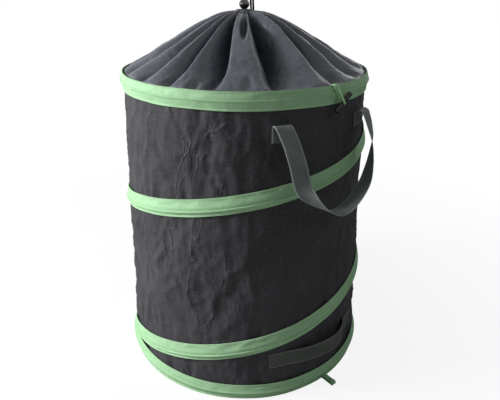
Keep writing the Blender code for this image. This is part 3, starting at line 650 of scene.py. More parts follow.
@dataclass(frozen=True)
class Finish:
    """What every finish has: a name, and a darker and a lighter tone."""

    name: str
    shade: Colour
    light: Colour

    def material(self) -> Material:
        """Build the material."""
        made = bpy.data.materials.new(self.name)
        made.use_nodes = True
        tree = Tree(made.node_tree)
        shader = made.node_tree.nodes["Principled BSDF"].inputs
        places = tree.add("TexCoord", {})
        share = self.paint(tree, shader, places)
        tree.put(tree.blend(share, (*self.shade, 1.0), (*self.light, 1.0)), shader["Base Color"])
        return made

    def paint(self, tree: Tree, shader: Sockets, places: Sockets) -> Socket:
        """Set the shader's other inputs.

        Args:
            tree: The material's nodes.
            shader: The shader's inputs.
            places: The texture coordinates.

        Returns:
            How far the colour goes from shade to light.
        """
        raise NotImplementedError

    def effect(self, tree: Tree, effect: Effect, place: Socket, **value: float) -> Sockets:
        """The outputs of a shared node group, fed with a place and its own value."""
        named = {key.capitalize(): number for key, number in value.items()}
        return tree.add("Group", {"Place": place, **named}, node_tree=bpy.data.node_groups[effect.value])


@dataclass(frozen=True)
class ClothFinish(Finish):
    """Woven cloth, on a UV map in metres."""

    roughness: float
    pitch: float = 0.0008
    weave_bump: float = 0.25
    crease_scale: float = 22.0
    crease_bump: float = 0.35
    crease_depth: float = 0.0015
    crease_squat: float = 1.0
    specular: float = 0.35

    def paint(self, tree: Tree, shader: Sockets, places: Sockets) -> Socket:
        """Weave the cloth, crease it, and paint a highlight along the crease ridges."""
        place = places["Object"]
        weave = self.effect(tree, Effect.WEAVE, places["UV"], pitch=self.pitch)
        tall = tree.add("Mapping", {"Vector": place, "Scale": (1.0, 1.0, self.crease_squat)})[0]
        crease = self.effect(tree, Effect.CREASES, tall, scale=self.crease_scale)
        tone = tree.math("MULTIPLY", self.effect(tree, Effect.PATCHES, place)["Share"], 0.25)
        tone = tree.math("MULTIPLY_ADD", weave["Streak"], 0.45, tone)
        rough = tree.ranged(weave["Streak"], 0.0, 1.0, self.roughness - 0.05, self.roughness + 0.05)
        tree.put(rough, shader["Roughness"])
        shader["Specular IOR Level"].default_value = self.specular
        threads = tree.bump(weave["Height"], self.weave_bump, self.pitch * 0.3)
        folds = tree.bump(crease["Height"], self.crease_bump, self.crease_depth, threads)
        tree.put(folds, shader["Normal"])
        # Painted highlight: the crease ridges are coloured lighter, as if lit
        return tree.math("MULTIPLY_ADD", crease["Ridge highlight"], 0.20, tone)


@dataclass(frozen=True)
class WebbingFinish(Finish):
    """Ribbed polyester webbing: rows of chevrons along the strap, with a painted highlight along both edges.
    """

    width: float = 0.030
    rib: float = 0.0030
    roughness: float = 0.72
    specular: float = 0.3

    def paint(self, tree: Tree, shader: Sockets, places: Sockets) -> Socket:
        """Weave the ribs."""
        along, across, _ = tree.add("SeparateXYZ", {0: places["UV"]})
        patch = self.effect(tree, Effect.PATCHES, places["Object"], scale=30.0)["Share"]
        slant = tree.math("ADD", along, tree.math("PINGPONG", across, self.rib * 2))
        picks = tree.math("SINE", tree.math("MULTIPLY", slant, FULL_TURN / self.rib))
        cords = tree.math("ABSOLUTE", tree.math("SINE", tree.math("MULTIPLY", across, math.pi / self.rib)))
        # Painted highlight: the colour goes lighter within 3 mm of each edge, where the edges catch the light
        edge = tree.ranged(tree.math("PINGPONG", across, self.width / 2), 0.0, 0.0030, 1.0, 0.0)
        shader["Roughness"].default_value = self.roughness
        shader["Specular IOR Level"].default_value = self.specular
        tree.put(tree.bump(tree.math("MULTIPLY_ADD", picks, 0.35, cords), 0.6, 0.0004), shader["Normal"])
        tone = tree.math("MULTIPLY_ADD", patch, 0.25, tree.math("MULTIPLY_ADD", picks, 0.30, 0.3))
        return tree.math("MULTIPLY_ADD", edge, 1.0, tone)


@dataclass(frozen=True)
class CordFinish(Finish):
    """Braided cord, elastic or thread, on the UV map of a tube."""

    lay: float = 0.0030
    roughness: float = 0.7
    specular: float = 0.2

    def paint(self, tree: Tree, shader: Sockets, places: Sockets) -> Socket:
        """Braid the strands."""
        along, across, _ = tree.add("SeparateXYZ", {0: places["UV"]})
        turns = FULL_TURN / self.lay
        slants = [tree.math(way, along, across) for way in ("ADD", "SUBTRACT")]
        strands = [tree.math("SINE", tree.math("MULTIPLY", slant, turns)) for slant in slants]
        braid = tree.math("MULTIPLY_ADD", tree.math("MULTIPLY", *strands), 0.5, 0.5)
        patch = self.effect(tree, Effect.PATCHES, places["Object"], scale=60.0)["Share"]
        shader["Roughness"].default_value = self.roughness
        shader["Specular IOR Level"].default_value = self.specular
        tree.put(tree.bump(braid, 0.7, 0.0004), shader["Normal"])
        return tree.math("MULTIPLY_ADD", patch, 0.3, tree.math("MULTIPLY", braid, 0.6))


@dataclass(frozen=True)
class HardFinish(Finish):
    """Moulded plastic or drawn steel, on Object coordinates."""

    roughness: float
    metallic: float = 0.0
    grain_scale: float = 900.0
    grain_bump: float = 0.08
    coat: float = 0.0
    specular: float = 0.5

    def paint(self, tree: Tree, shader: Sockets, places: Sockets) -> Socket:
        """Give it its gloss and its grain."""
        patch = self.effect(tree, Effect.PATCHES, places["Object"], scale=90.0)["Share"]
        tree.put(tree.ranged(patch, 0.0, 1.0, self.roughness, self.roughness + 0.10), shader["Roughness"])
        shader["Metallic"].default_value = self.metallic
        shader["Coat Weight"].default_value = self.coat
        shader["Specular IOR Level"].default_value = self.specular
        grain = tree.noise(places["Object"], self.grain_scale)
        tree.put(tree.bump(grain, self.grain_bump, 0.0002), shader["Normal"])
        return tree.math("MULTIPLY", patch, 0.6)


class Finishes:
    """Every finish of the bag, as a built material."""

    def __init__(self) -> None:
        """Build the shared groups, then each material."""
        for group in (weave_group, crumple_group, patch_group):
            group()
        self.wall = ClothFinish(
            "black woven cloth", (0.026, 0.026, 0.028), (0.092, 0.092, 0.102), 0.75, pitch=0.0009,
            crease_scale=19.0, crease_bump=1.0, crease_depth=0.0042, crease_squat=0.55, specular=0.12,
        ).material()
        self.panel = ClothFinish(
            "black base cloth", (0.008, 0.008, 0.009), (0.022, 0.021, 0.024), 0.70, crease_bump=0.15,
        ).material()
        self.band = ClothFinish(
            "mint band cloth", (0.250, 0.450, 0.245), (0.420, 0.660, 0.400), 0.62, pitch=0.0007,
            crease_scale=34.0, crease_bump=0.5, crease_depth=0.0011, specular=0.2,
        ).material()
        self.cover = ClothFinish(
            "grey satin cloth", (0.027, 0.031, 0.040), (0.156, 0.172, 0.205), 0.42, pitch=0.0005,
            weave_bump=0.15, crease_scale=14.0, crease_bump=0.7, crease_depth=0.0018, specular=0.40,
        ).material()
        self.band_thread = CordFinish(
            "mint thread", (0.50, 0.72, 0.46), (0.76, 0.92, 0.70), 0.0012
        ).material()
        self.webbing_thread = CordFinish(
            "olive thread", (0.150, 0.142, 0.095), (0.300, 0.285, 0.205), 0.0012
        ).material()
        self.elastic = CordFinish(
            "mint elastic", (0.34, 0.66, 0.32), (0.52, 0.86, 0.48), 0.0018, 0.6
        ).material()
        self.cord = CordFinish(
            "black braided cord", (0.004, 0.004, 0.005), (0.022, 0.022, 0.024)
        ).material()
        self.webbing = WebbingFinish(
            "grey green webbing", (0.040, 0.048, 0.046), (0.270, 0.305, 0.300)
        ).material()
        # The tip handle's webbing: a darker copy of the carry handles' webbing, with painted shade for the
        # strap's low place on the bag
        self.shaded_webbing = WebbingFinish(
            "shaded green webbing", (0.020, 0.023, 0.020), (0.125, 0.138, 0.125)
        ).material()
        self.lock = HardFinish(
            "gloss lock plastic", (0.006, 0.006, 0.007), (0.012, 0.012, 0.013), 0.16, coat=0.3
        ).material()
        self.toggle = HardFinish(
            "satin toggle plastic", (0.008, 0.008, 0.009), (0.016, 0.016, 0.017), 0.40, specular=0.25
        ).material()
        self.steel = HardFinish(
            "drawn spring steel", (0.42, 0.42, 0.44), (0.24, 0.23, 0.23), 0.28,
            metallic=1.0, grain_scale=400.0,
        ).material()


# Sub-assemblies


@dataclass
class Spiral:
    """The course of the spiral wire round the drum, from the bottom hoop to the top one."""

    start: float = math.radians(-126)
    turns: int = 2
    # How far it has risen after each quarter turn
    rise_shares: tuple[float, ...] = (0.014, 0.170, 0.327, 0.450, 0.558, 0.684, 0.809, 0.9375, 1.0)

    def height(self, turned: float) -> float:
        """Height of its middle after some angle round from its start."""
        table = tuple((float(quarter), share) for quarter, share in enumerate(self.rise_shares))
        return mix(BOTTOM_HOOP_HEIGHT, TOP_HOOP_HEIGHT, read_table(table, turned / (math.pi / 2)))

    def levels(self, angle: float) -> list[float]:
        """Heights at which it passes one angle round the drum, low to high."""
        first = (angle - self.start) % FULL_TURN
        return [self.height(first + FULL_TURN * number) for number in range(self.turns)]


@dataclass
class StitchRow:
    """Sewn stitches on a surface, each a short bead of thread."""

    length: float = 0.0032
    width: float = 0.0012
    proud: float = 0.0006

    def build(self, name: str, places: Sequence[Matrix]) -> Thing:
        """An object with a stitch at each place: its third column runs along it, and its second faces out."""
        size = Matrix.Diagonal((self.width / 2, self.proud, self.length / 2, 1.0))
        shape = Shape()
        for place in places:
            matrix = place @ size
            bmesh.ops.create_icosphere(shape.bm, subdivisions=1, radius=1.0, matrix=matrix, calc_uvs=False)
        return shape.piece(name, 180.0)


BOX_STITCH = StitchRow(0.0022, 0.0006, 0.0003)


def places_on(points: Sequence[Vector], outward: Facing, pitch: float) -> list[Matrix]:
    """Places for stitches along a line on a surface.

    Args:
        points: The line.
        outward: Gives the way that the surface faces at a point.
        pitch: The distance from one stitch to the next.

    Returns:
        One place for each stitch.
    """
    run = evenly(points, max(2, round(length_of(points) / pitch)) + 1)
    found = []
    for here, there in zip(run, run[1:]):
        middle = (here + there) / 2
        along = (there - here).normalized()
        found.append(station(middle, along, outward(middle).cross(along)))
    return found


def sewn_box(corners: Sequence[Vector], outward: Facing, seat: Facing, pitch: float = 0.0030) -> list[Matrix]:
    """Places for a box of stitches with a cross in it.

    Args:
        corners: The four corners, in order.
        outward: Gives the way that the surface faces at a point.
        seat: Puts a point on the surface.
        pitch: The distance from one stitch to the next.

    Returns:
        One place for each stitch.
    """
    steps = 6
    lines = [*zip(corners, [*corners[1:], corners[0]]), (corners[0], corners[2]), (corners[1], corners[3])]
    places = []
    for here, there in lines:
        curved = [seat(here.lerp(there, number / steps)) for number in range(steps + 1)]
        places += places_on(curved, outward, pitch)
    return places


@dataclass(frozen=True)
class Crumple:
    """Cells of soft hollows with sharp ridges between, as stiff cloth creases."""

    width: float
    height: float
    depth: float
    seed: float

    def hollow(self, angle: float, height: float) -> float:
        """How deep the cloth lies at a place: the depth in a cell's middle, nothing on a ridge."""
        place = polar(WALL_RADIUS / self.width, angle, height / self.height + self.seed)
        place += noise.noise_vector(place * 0.8) * 0.8
        near, other = noise.voronoi(place)[0][:2]
        patch = 0.55 + 0.80 * noise.noise(place * 0.45 + Vector((self.seed, 0, 0)))
        return self.depth * min(1.0, (other - near) * 1.5) ** 0.75 * max(0.10, patch)


@dataclass
class DrumWall:
    """The black cloth wall: drawn in between the coils, and crumpled."""

    spiral: Spiral
    columns: int = 324
    rows: int = 146
    foot: float = 0.0023
    head: float = 0.5800
    waist: float = 0.0018
    bulge: float = 0.0022
    streak: float = 0.0030
    # The gap between two bands at which the cloth is quite free
    free_gap: float = 0.17
    creases: tuple[Crumple, ...] = (
        Crumple(0.070, 0.110, 0.0080, 3.0), Crumple(0.034, 0.056, 0.0058, 11.0),
        Crumple(0.015, 0.034, 0.0016, 23.0),
    )
    # Where tabs are sewn, and how far each holds the cloth: angle and height
    tabs: tuple[tuple[float, float], ...] = (
        (-TAB_ANGLE, 0.524), (TAB_ANGLE, 0.524), (math.pi - TAB_ANGLE, 0.524), (math.pi + TAB_ANGLE, 0.524),
        (-0.3770, 0.0810), (0.3857, 0.0895),
    )
    tab_hold: tuple[float, float] = (0.030, 0.034)

    def slack(self, angle: float, height: float) -> tuple[float, float]:
        """How free the cloth is at a place.

        Args:
            angle: The angle round the drum.
            height: The height.

        Returns:
            The freedom, from 0 at a band to 1 midway between two, and the distance to the nearer band.
        """
        levels = [BOTTOM_HOOP_HEIGHT, *self.spiral.levels(angle), TOP_HOOP_HEIGHT]
        below = max((level for level in levels if level <= height), default=levels[0])
        above = min((level for level in levels if level > height), default=levels[-1])
        gap = above - below
        if gap < 0.001:
            return 0.0, 0.0
        arch = max(0.0, 1 - (2 * (height - below) / gap - 1) ** 2)
        return arch * min(1.0, gap / self.free_gap), min(above - height, height - below)

    def held(self, angle: float, height: float) -> float:
        """How firmly a sewn tab holds the wall out, from 0 to 1."""
        wide, tall = self.tab_hold
        holds = 0.0
        for centre, level in self.tabs:
            away = (angle - centre + math.pi) % FULL_TURN - math.pi
            holds = max(holds, 1 - math.hypot(away * WALL_RADIUS / wide, (height - level) / tall))
        return eased(holds * 1.8)

    def drawn_in(self, angle: float, height: float) -> float:
        """How far inside the full radius the cloth lies."""
        slack, near = self.slack(angle, height)
        if slack <= 0:
            return 0.0
        depth = self.waist * slack * (0.8 + 0.4 * noise.noise(polar(1.7, angle, height * 5.0)))
        depth += slack**0.45 * sum(crease.hollow(angle, height) for crease in self.creases)
        gather = abs(noise.noise(polar(11.0, angle, height * 5.0 + 4.0)))
        depth += self.streak * gather * min(1.0, near / 0.022) * math.exp(-near / 0.055) * 2.6
        depth -= self.bulge * slack**0.5 * min(1.0, near / 0.03)
        return depth * (1 - self.held(angle, height))

    def build(self, finish: Material) -> None:
        """Make the wall."""

        def place(angle: float, share: float) -> Vector:
            height = mix(self.foot, self.head, share)
            return polar(WALL_RADIUS - self.drawn_in(angle, height), angle, height)

        shape = Shape().tube(self.columns, self.rows, self.head - self.foot, place)
        piece = shape.cloth("drum_wall", CLOTH_THICKNESS)
        dress(piece, finish, Slot.WALL, "base", "wall", ON_BASE)


@dataclass
class SleeveForm:
    """The section of a wire sleeve, seen end on: a folded band that the wire lifts into a ridge."""

    height: float
    ridge_share: float
    ridge_radius: float
    wrinkle: float = 0.0011
    margin: float = 0.0045
    bead: float = 0.0019
    # The wire's middle and its top, as heights above the wall
    wire: float = 0.0024
    hidden: float = 0.0021

    def outline(self) -> list[tuple[float, float]]:
        """The smooth outer face, from the lower edge to the upper: up from the middle, out from the axis."""
        half, skin = self.height / 2, CLOTH_THICKNESS
        ridge = half - self.height * self.ridge_share
        high = self.ridge_radius - BAND_RADIUS
        # From the edge to the seam: how far in it lies, and how many skins out
        hem = ((0.0, 0.4), (0.0006, 1.5), (0.0018, 1.3), (self.margin * 0.7, 0.75), (self.margin, 1.0))
        sides = []
        for side in (-1, 1):
            rising = [(side * (half - inward), BAND_RADIUS + skin * skins) for inward, skins in hem]
            for share in (0.16, 0.34, 0.54, 0.76, 1.0):
                up = mix(side * (half - self.margin), ridge + side * self.bead, share)
                rising.append((up, BAND_RADIUS + skin + (high * 0.66 - skin) * share**0.85))
            rising.append((ridge + side * self.bead * 0.60, BAND_RADIUS + high * 0.93))
            sides.append(rising)
        return [*sides[0], (ridge, self.ridge_radius), *reversed(sides[1])]

    def wavy(self, place: Vector) -> list[tuple[float, float]]:
        """The wrinkled outer face where the band passes a place on its middle line."""
        half, skin = self.height / 2, CLOTH_THICKNESS
        ridge = half - self.height * self.ridge_share
        found = []
        for up, out in self.outline():
            near_edge = min(1.0, (half - abs(up)) / self.margin)
            fold = place * 24 + Vector((0, 0, up * 46))
            fold += noise.noise_vector(place * 12) * 0.8
            size = self.wrinkle * min(1.0, abs(up - ridge) / 0.0045) * near_edge
            size *= 1.0 if up > ridge else 0.55
            ripple = 1.1 - abs(noise.noise(fold)) * 3.4 + noise.noise(fold * 2.7) * 0.9
            up += noise.noise(place * 15 + Vector((3, 1, up * 8))) * 0.0009
            least = BAND_RADIUS + skin * 0.4
            if abs(up) < self.wire * 2.2:
                least = BAND_RADIUS + self.wire + self.hidden - max(0.0, abs(up) - 0.0008) * 0.5
            found.append((up, max(out + size * ripple, least)))
        return found

    def section(self, place: Vector) -> Section:
        """The closed section where the band passes a place on its middle line."""
        ridge = self.height * (0.5 - self.ridge_share)
        inner = [(up, BAND_RADIUS) for up in (self.height * 0.48, ridge, -self.height * 0.48)]
        return self.wavy(place) + inner

    def surface(self, place: Vector, up: float) -> float:
        """How far out the band's outer face stands at a level above or below its middle."""
        outer = self.wavy(place)
        for (low, near), (high, far) in zip(outer, outer[1:]):
            if min(low, high) <= up <= max(low, high):
                return mix(near, far, (up - low) / (high - low) if high != low else 0.5)
        return outer[0][1]


@dataclass
class WireSleeves:
    """The three mint sleeves, round both hoops and along the spiral, and the spiral's own wire."""

    spiral: Spiral
    steps: int = 288
    top: SleeveForm = field(default_factory=lambda: SleeveForm(0.0340, 0.47, 0.2536))
    bottom: SleeveForm = field(default_factory=lambda: SleeveForm(0.0300, 0.52, 0.2534, 0.0008))
    coil: SleeveForm = field(default_factory=lambda: SleeveForm(0.0340, 0.68, 0.2531))
    stitch: StitchRow = field(default_factory=StitchRow)
    stitch_pitch: float = 0.0042
    stitch_inset: float = 0.0030
    wire_ring: float = 0.2502
    wire_diameter: float = 0.0030
    # How far the spiral's ends go under the hoop sleeves
    tuck: float = 0.010

    def sleeve(self, name: str, form: SleeveForm, run: Run, closes: bool) -> Thing:
        """Make one sleeve along a run of angles and heights."""
        places = [polar(WALL_RADIUS, *spot) for spot in run]
        shape = Shape().sweep(lambda step: form.section(places[step]), rings_round(run), closes)
        pitch = (run[1][0] - run[0][0]) * WALL_RADIUS
        for face in shape.bm.faces:
            for loop in face.loops:
                loop[shape.uv].uv = (loop.vert[shape.step] * pitch, loop[shape.uv].uv.y)
        return shape.piece(name, 40.0)

    def rows(self, form: SleeveForm, run: Run, closes: bool) -> list[Matrix]:
        """Places of the two stitch rows along a sleeve's edges."""
        if closes:
            run = [*run, (run[0][0] + FULL_TURN, run[0][1])]
        found = []
        for side in (-1, 1):
            up = side * (form.height / 2 - self.stitch_inset)
            line = []
            for angle, height in run:
                out = form.surface(polar(WALL_RADIUS, angle, height), up)
                line.append(polar(out + self.stitch.proud * 0.3, angle, height + up))
            found += places_on(line, radial, self.stitch_pitch)
        return found

    def hoop_run(self, height: float) -> Run:
        """The run of a hoop's sleeve."""
        return [(FULL_TURN * number / self.steps, height) for number in range(self.steps)]

    def spiral_run(self) -> Run:
        """The run of the spiral, up to where the hoop sleeves cover it."""
        lowest = BOTTOM_HOOP_HEIGHT + (self.bottom.height + self.coil.height) / 2 - self.tuck
        highest = TOP_HOOP_HEIGHT - (self.top.height + self.coil.height) / 2 + self.tuck
        turns = [number * FULL_TURN / self.steps for number in range(self.spiral.turns * self.steps)]
        run = [(self.spiral.start + turned, self.spiral.height(turned)) for turned in turns]
        return [(angle, height) for angle, height in run if lowest <= height <= highest]

    def build(self, cloth: Material, thread: Material, steel: Material) -> None:
        """Make the sleeves, their stitching and the spiral wire."""
        coil = self.spiral_run()
        for name, form, run, body, press in (
            ("top", self.top, self.hoop_run(TOP_HOOP_HEIGHT), "rim", None),
            ("bottom", self.bottom, self.hoop_run(BOTTOM_HOOP_HEIGHT), "base", None),
            ("spiral", self.coil, coil, "base", ON_BASE),
        ):
            closes = run is not coil
            band = self.sleeve(f"{name}_band", form, run, closes)
            dress(band, cloth, Slot.BAND, body, f"{name}_sleeve", press)
            stitches = self.stitch.build(f"{name}_band_stitches", self.rows(form, run, closes))
            dress(stitches, thread, Slot.BAND, body, press=press)
        wire = cord_stations([polar(self.wire_ring, *spot) for spot in coil])
        piece = Shape().sweep(round_section(self.wire_diameter / 2), wire).piece("spring_spiral", 60.0)
        dress(piece, steel, Slot.STEEL, "base", "spiral_wire", ON_BASE)


@dataclass(frozen=True)
class Dimple:
    """A short fold of the cover: a hollow that starts and ends on its own."""

    angle: float
    width: float
    low: float
    high: float
    depth: float
    # How much wider its upper end is than its lower end
    taper: float = -0.8

    def hollow(self, angle: float, share: float) -> float:
        """How deep it is at an angle, in degrees from the camera's side, and a share of the way up."""
        up = (share - self.low) / (self.high - self.low)
        width = self.width * max(0.2, 1 + self.taper * (up - 0.5))
        across = ((angle - self.angle + 180) % 360 - 180) / width
        if abs(across) >= 1 or not 0 < up < 1:
            return 0.0
        return 1.5 * self.depth * (1 - abs(across) ** 1.5) ** 1.5 * math.sin(math.pi * up) ** 1.7


@dataclass(frozen=True)
class Pleat:
    """A fold's crest, in degrees from the camera's side: at the neck, half way down and at the rim."""

    top: float
    middle: float
    foot: float
    # The share of the way to the next crest at which the valley lies
    lean: float = 0.5
    depth: float = 1.0
    # How squarely the cloth turns down from this crest, and up to the next: 1 is straight, 3 a flat top
    down: float = 1.8
    up: float = 1.8

    def at(self, share: float) -> float:
        """The crest's angle at a share of the way up."""
        return read_table(((0.0, self.foot), (0.42, self.middle), (1.0, self.top)), held_in(share))


@dataclass
class GatheredCover:
    """The satin cover: a tube of cloth sewn to the rim and gathered to a neck by its drawcord."""

    columns: int = 600
    rows: int = 92
    rise: float = 0.1130
    reach: float = 0.2265
    thickness: float = 0.0006
    pleats: tuple[Pleat, ...] = (
        Pleat(-162, -164, -166), Pleat(-142, -140, -138, 0.45), Pleat(-120, -121, -124, 0.55),
        Pleat(-98, -97, -96), Pleat(-78, -78, -80, 0.55, 0.9), Pleat(-58, -60, -64, 0.66),
        Pleat(-42, -44, -46, 0.66, 1.10, 1.5, 1.5), Pleat(-31, -29, -29, 0.80, 1.45, 1.25, 1.4),
        Pleat(-15, -8, -9, 0.50, 1.50, 7.0, 1.4), Pleat(45, 37, 34, 0.45, 1.2, 1.5, 1.5),
        Pleat(62, 54, 51, 0.50, 1.05, 1.5, 1.5), Pleat(78, 72, 69), Pleat(94, 92, 91, 0.45),
        Pleat(112, 113, 115, 0.55), Pleat(134, 133, 131), Pleat(154, 155, 157, 0.45),
        Pleat(176, 176, 175, 0.55),
    )
    # The gathered cone: share of the rise, share of the way in, depth of the folds
    profile: Table = (
        (-0.089, 0.000, 0.0000), (0.000, 0.022, 0.0010), (0.045, 0.046, 0.0060), (0.106, 0.101, 0.0130),
        (0.221, 0.208, 0.0225), (0.398, 0.339, 0.0315), (0.575, 0.490, 0.0375), (0.752, 0.641, 0.0370),
        (0.885, 0.772, 0.0280), (0.955, 0.860, 0.0165), (0.990, 0.930, 0.0075), (1.000, 1.000, 0.0012),
    )
    dimples: tuple[Dimple, ...] = (
        Dimple(-1, 7, 0.58, 1.06, 0.0130, 1.5), Dimple(-35, 4, -0.04, 0.24, 0.0060),
        Dimple(-22, 3.4, -0.04, 0.17, 0.0048), Dimple(-52, 4, -0.04, 0.20, 0.0048),
        Dimple(-15, 3.5, -0.04, 0.30, 0.0050), Dimple(2, 4, -0.04, 0.20, 0.0036),
        Dimple(26, 5, -0.04, 0.16, 0.0030), Dimple(44, 4, -0.04, 0.24, 0.0050),
        Dimple(-70, 4, -0.04, 0.24, 0.0048), Dimple(62, 4, -0.04, 0.22, 0.0045),
        Dimple(102, 4, 0.55, 0.98, 0.0110), Dimple(-110, 4, 0.60, 0.98, 0.0110),
        Dimple(145, 4, -0.04, 0.26, 0.0050), Dimple(-152, 4, -0.04, 0.22, 0.0050),
        Dimple(166, 4, 0.60, 0.98, 0.0100), Dimple(-90, 3, -0.04, 0.22, 0.0045),
        Dimple(82, 4, -0.04, 0.22, 0.0040), Dimple(120, 4, -0.04, 0.24, 0.0045),
    )

    def hollow(self, angle: float, share: float, depth: float) -> float:
        """How far the cloth lies inside the crests' cone.

        Args:
            angle: The angle in degrees from the camera's side.
            share: The share of the way up.
            depth: The folds' depth at that share.

        Returns:
            The distance inside.
        """
        crests = [pleat.at(share) for pleat in self.pleats]
        turned = (angle - crests[0]) % 360 + crests[0]
        number = max(index for index, crest in enumerate(crests) if crest <= turned)
        pleat, after = self.pleats[number], self.pleats[(number + 1) % len(crests)]
        span = [*crests, crests[0] + 360][number + 1] - crests[number]
        across = (turned - crests[number]) / span
        if across < pleat.lean:
            valley = (across / pleat.lean) ** pleat.down
        else:
            valley = ((1 - across) / (1 - pleat.lean)) ** pleat.up
        size = (pleat.depth + after.depth) / 2 * min(1.35, (span / 21) ** 0.6)
        lip = 0.06 * math.sin(3 * math.pi * across) * eased((share - 0.2) / 0.4)
        below = self.profile[0][0]
        free = min(1.0, (share - below) / 0.10) * min(1.0, (1 - share) / 0.12)
        fine = noise.noise(Vector((angle * 0.16 + share * 2.2, share * 9.0, 9)))
        foot = noise.noise(Vector((angle * 0.16, share * 4, 5)))
        puckers = 0.0032 * abs(foot) * math.exp(-max(share, 0.0) / 0.10)
        puckers += free * 0.0024 * noise.noise(Vector((angle * 0.085, share * 5.0, 2)))
        puckers += free * 0.0030 * max(0.0, 0.22 - abs(fine))
        total = depth * (size * valley - lip) + puckers * min(1.0, (share - below) / 0.05)
        return max(0.0, total) + sum(dimple.hollow(angle, share) for dimple in self.dimples)

    def build(self, finish: Material) -> None:
        """Make the cover."""

        def place(angle: float, along: float) -> Vector:
            share = mix(self.profile[0][0], self.profile[-1][0], along)
            inward, depth = (read_table(self.profile, share, column) for column in (1, 2))
            inside = self.hollow(math.degrees(angle - FACING), share, max(0.0, depth))
            out = polar(1, angle)
            crest = out * (WALL_RADIUS - self.reach * inward)
            return crest + UP * (RIM_HEIGHT + self.rise * share) - (out * 0.45 + UP * 0.89) * inside

        piece = Shape().tube(self.columns, self.rows, 0.275, place).cloth("gathered_cover", self.thickness)
        dress(piece, finish, Slot.COVER, "rim", "cover", ON_RIM)


@dataclass
class NeckHem:
    """The gathered hem that the drawcord runs in."""

    lobes: int = 18
    steps: int = 216
    radius: float = 0.0185
    ruffle: float = 0.0014
    mouth: float = 0.0122
    inner_radius: float = 0.0108

    def section(self, step: int) -> Section:
        """The hem's section at a step, as up and out: a thin channel, open to the middle."""
        turn = FULL_TURN * step / self.steps
        wave = math.cos(self.lobes * turn) + 0.4 * math.sin(7 * turn)
        out = self.radius - self.ruffle + self.ruffle * wave * 0.8
        middle, half = (HEM_FOOT + HEM_TOP) / 2, (HEM_TOP - HEM_FOOT) / 2
        outer = [
            (half - 0.0022, 0.0112), (half - 0.0006, self.mouth), (half - 0.0004, out - 0.0030),
            (half - 0.0016, out - 0.0006), (0.0, out + 0.0006), (-half + 0.0016, out),
            (-half + 0.0003, out - 0.0026), (-half + 0.0003, self.mouth),
        ]
        skin = CLOTH_THICKNESS * 1.3
        inner = [(up * 0.86, max(reach - skin, self.inner_radius)) for up, reach in reversed(outer[1:-1])]
        return [(middle + up, reach) for up, reach in outer + inner]

    def build(self, finish: Material) -> None:
        """Make the hem."""
        places = rings_round([(FULL_TURN * number / self.steps, 0.0) for number in range(self.steps)])
        piece = Shape().sweep(self.section, places, True).piece("gathered_hem", 60.0)
        dress(piece, finish, Slot.COVER, "neck", "neck_hem")


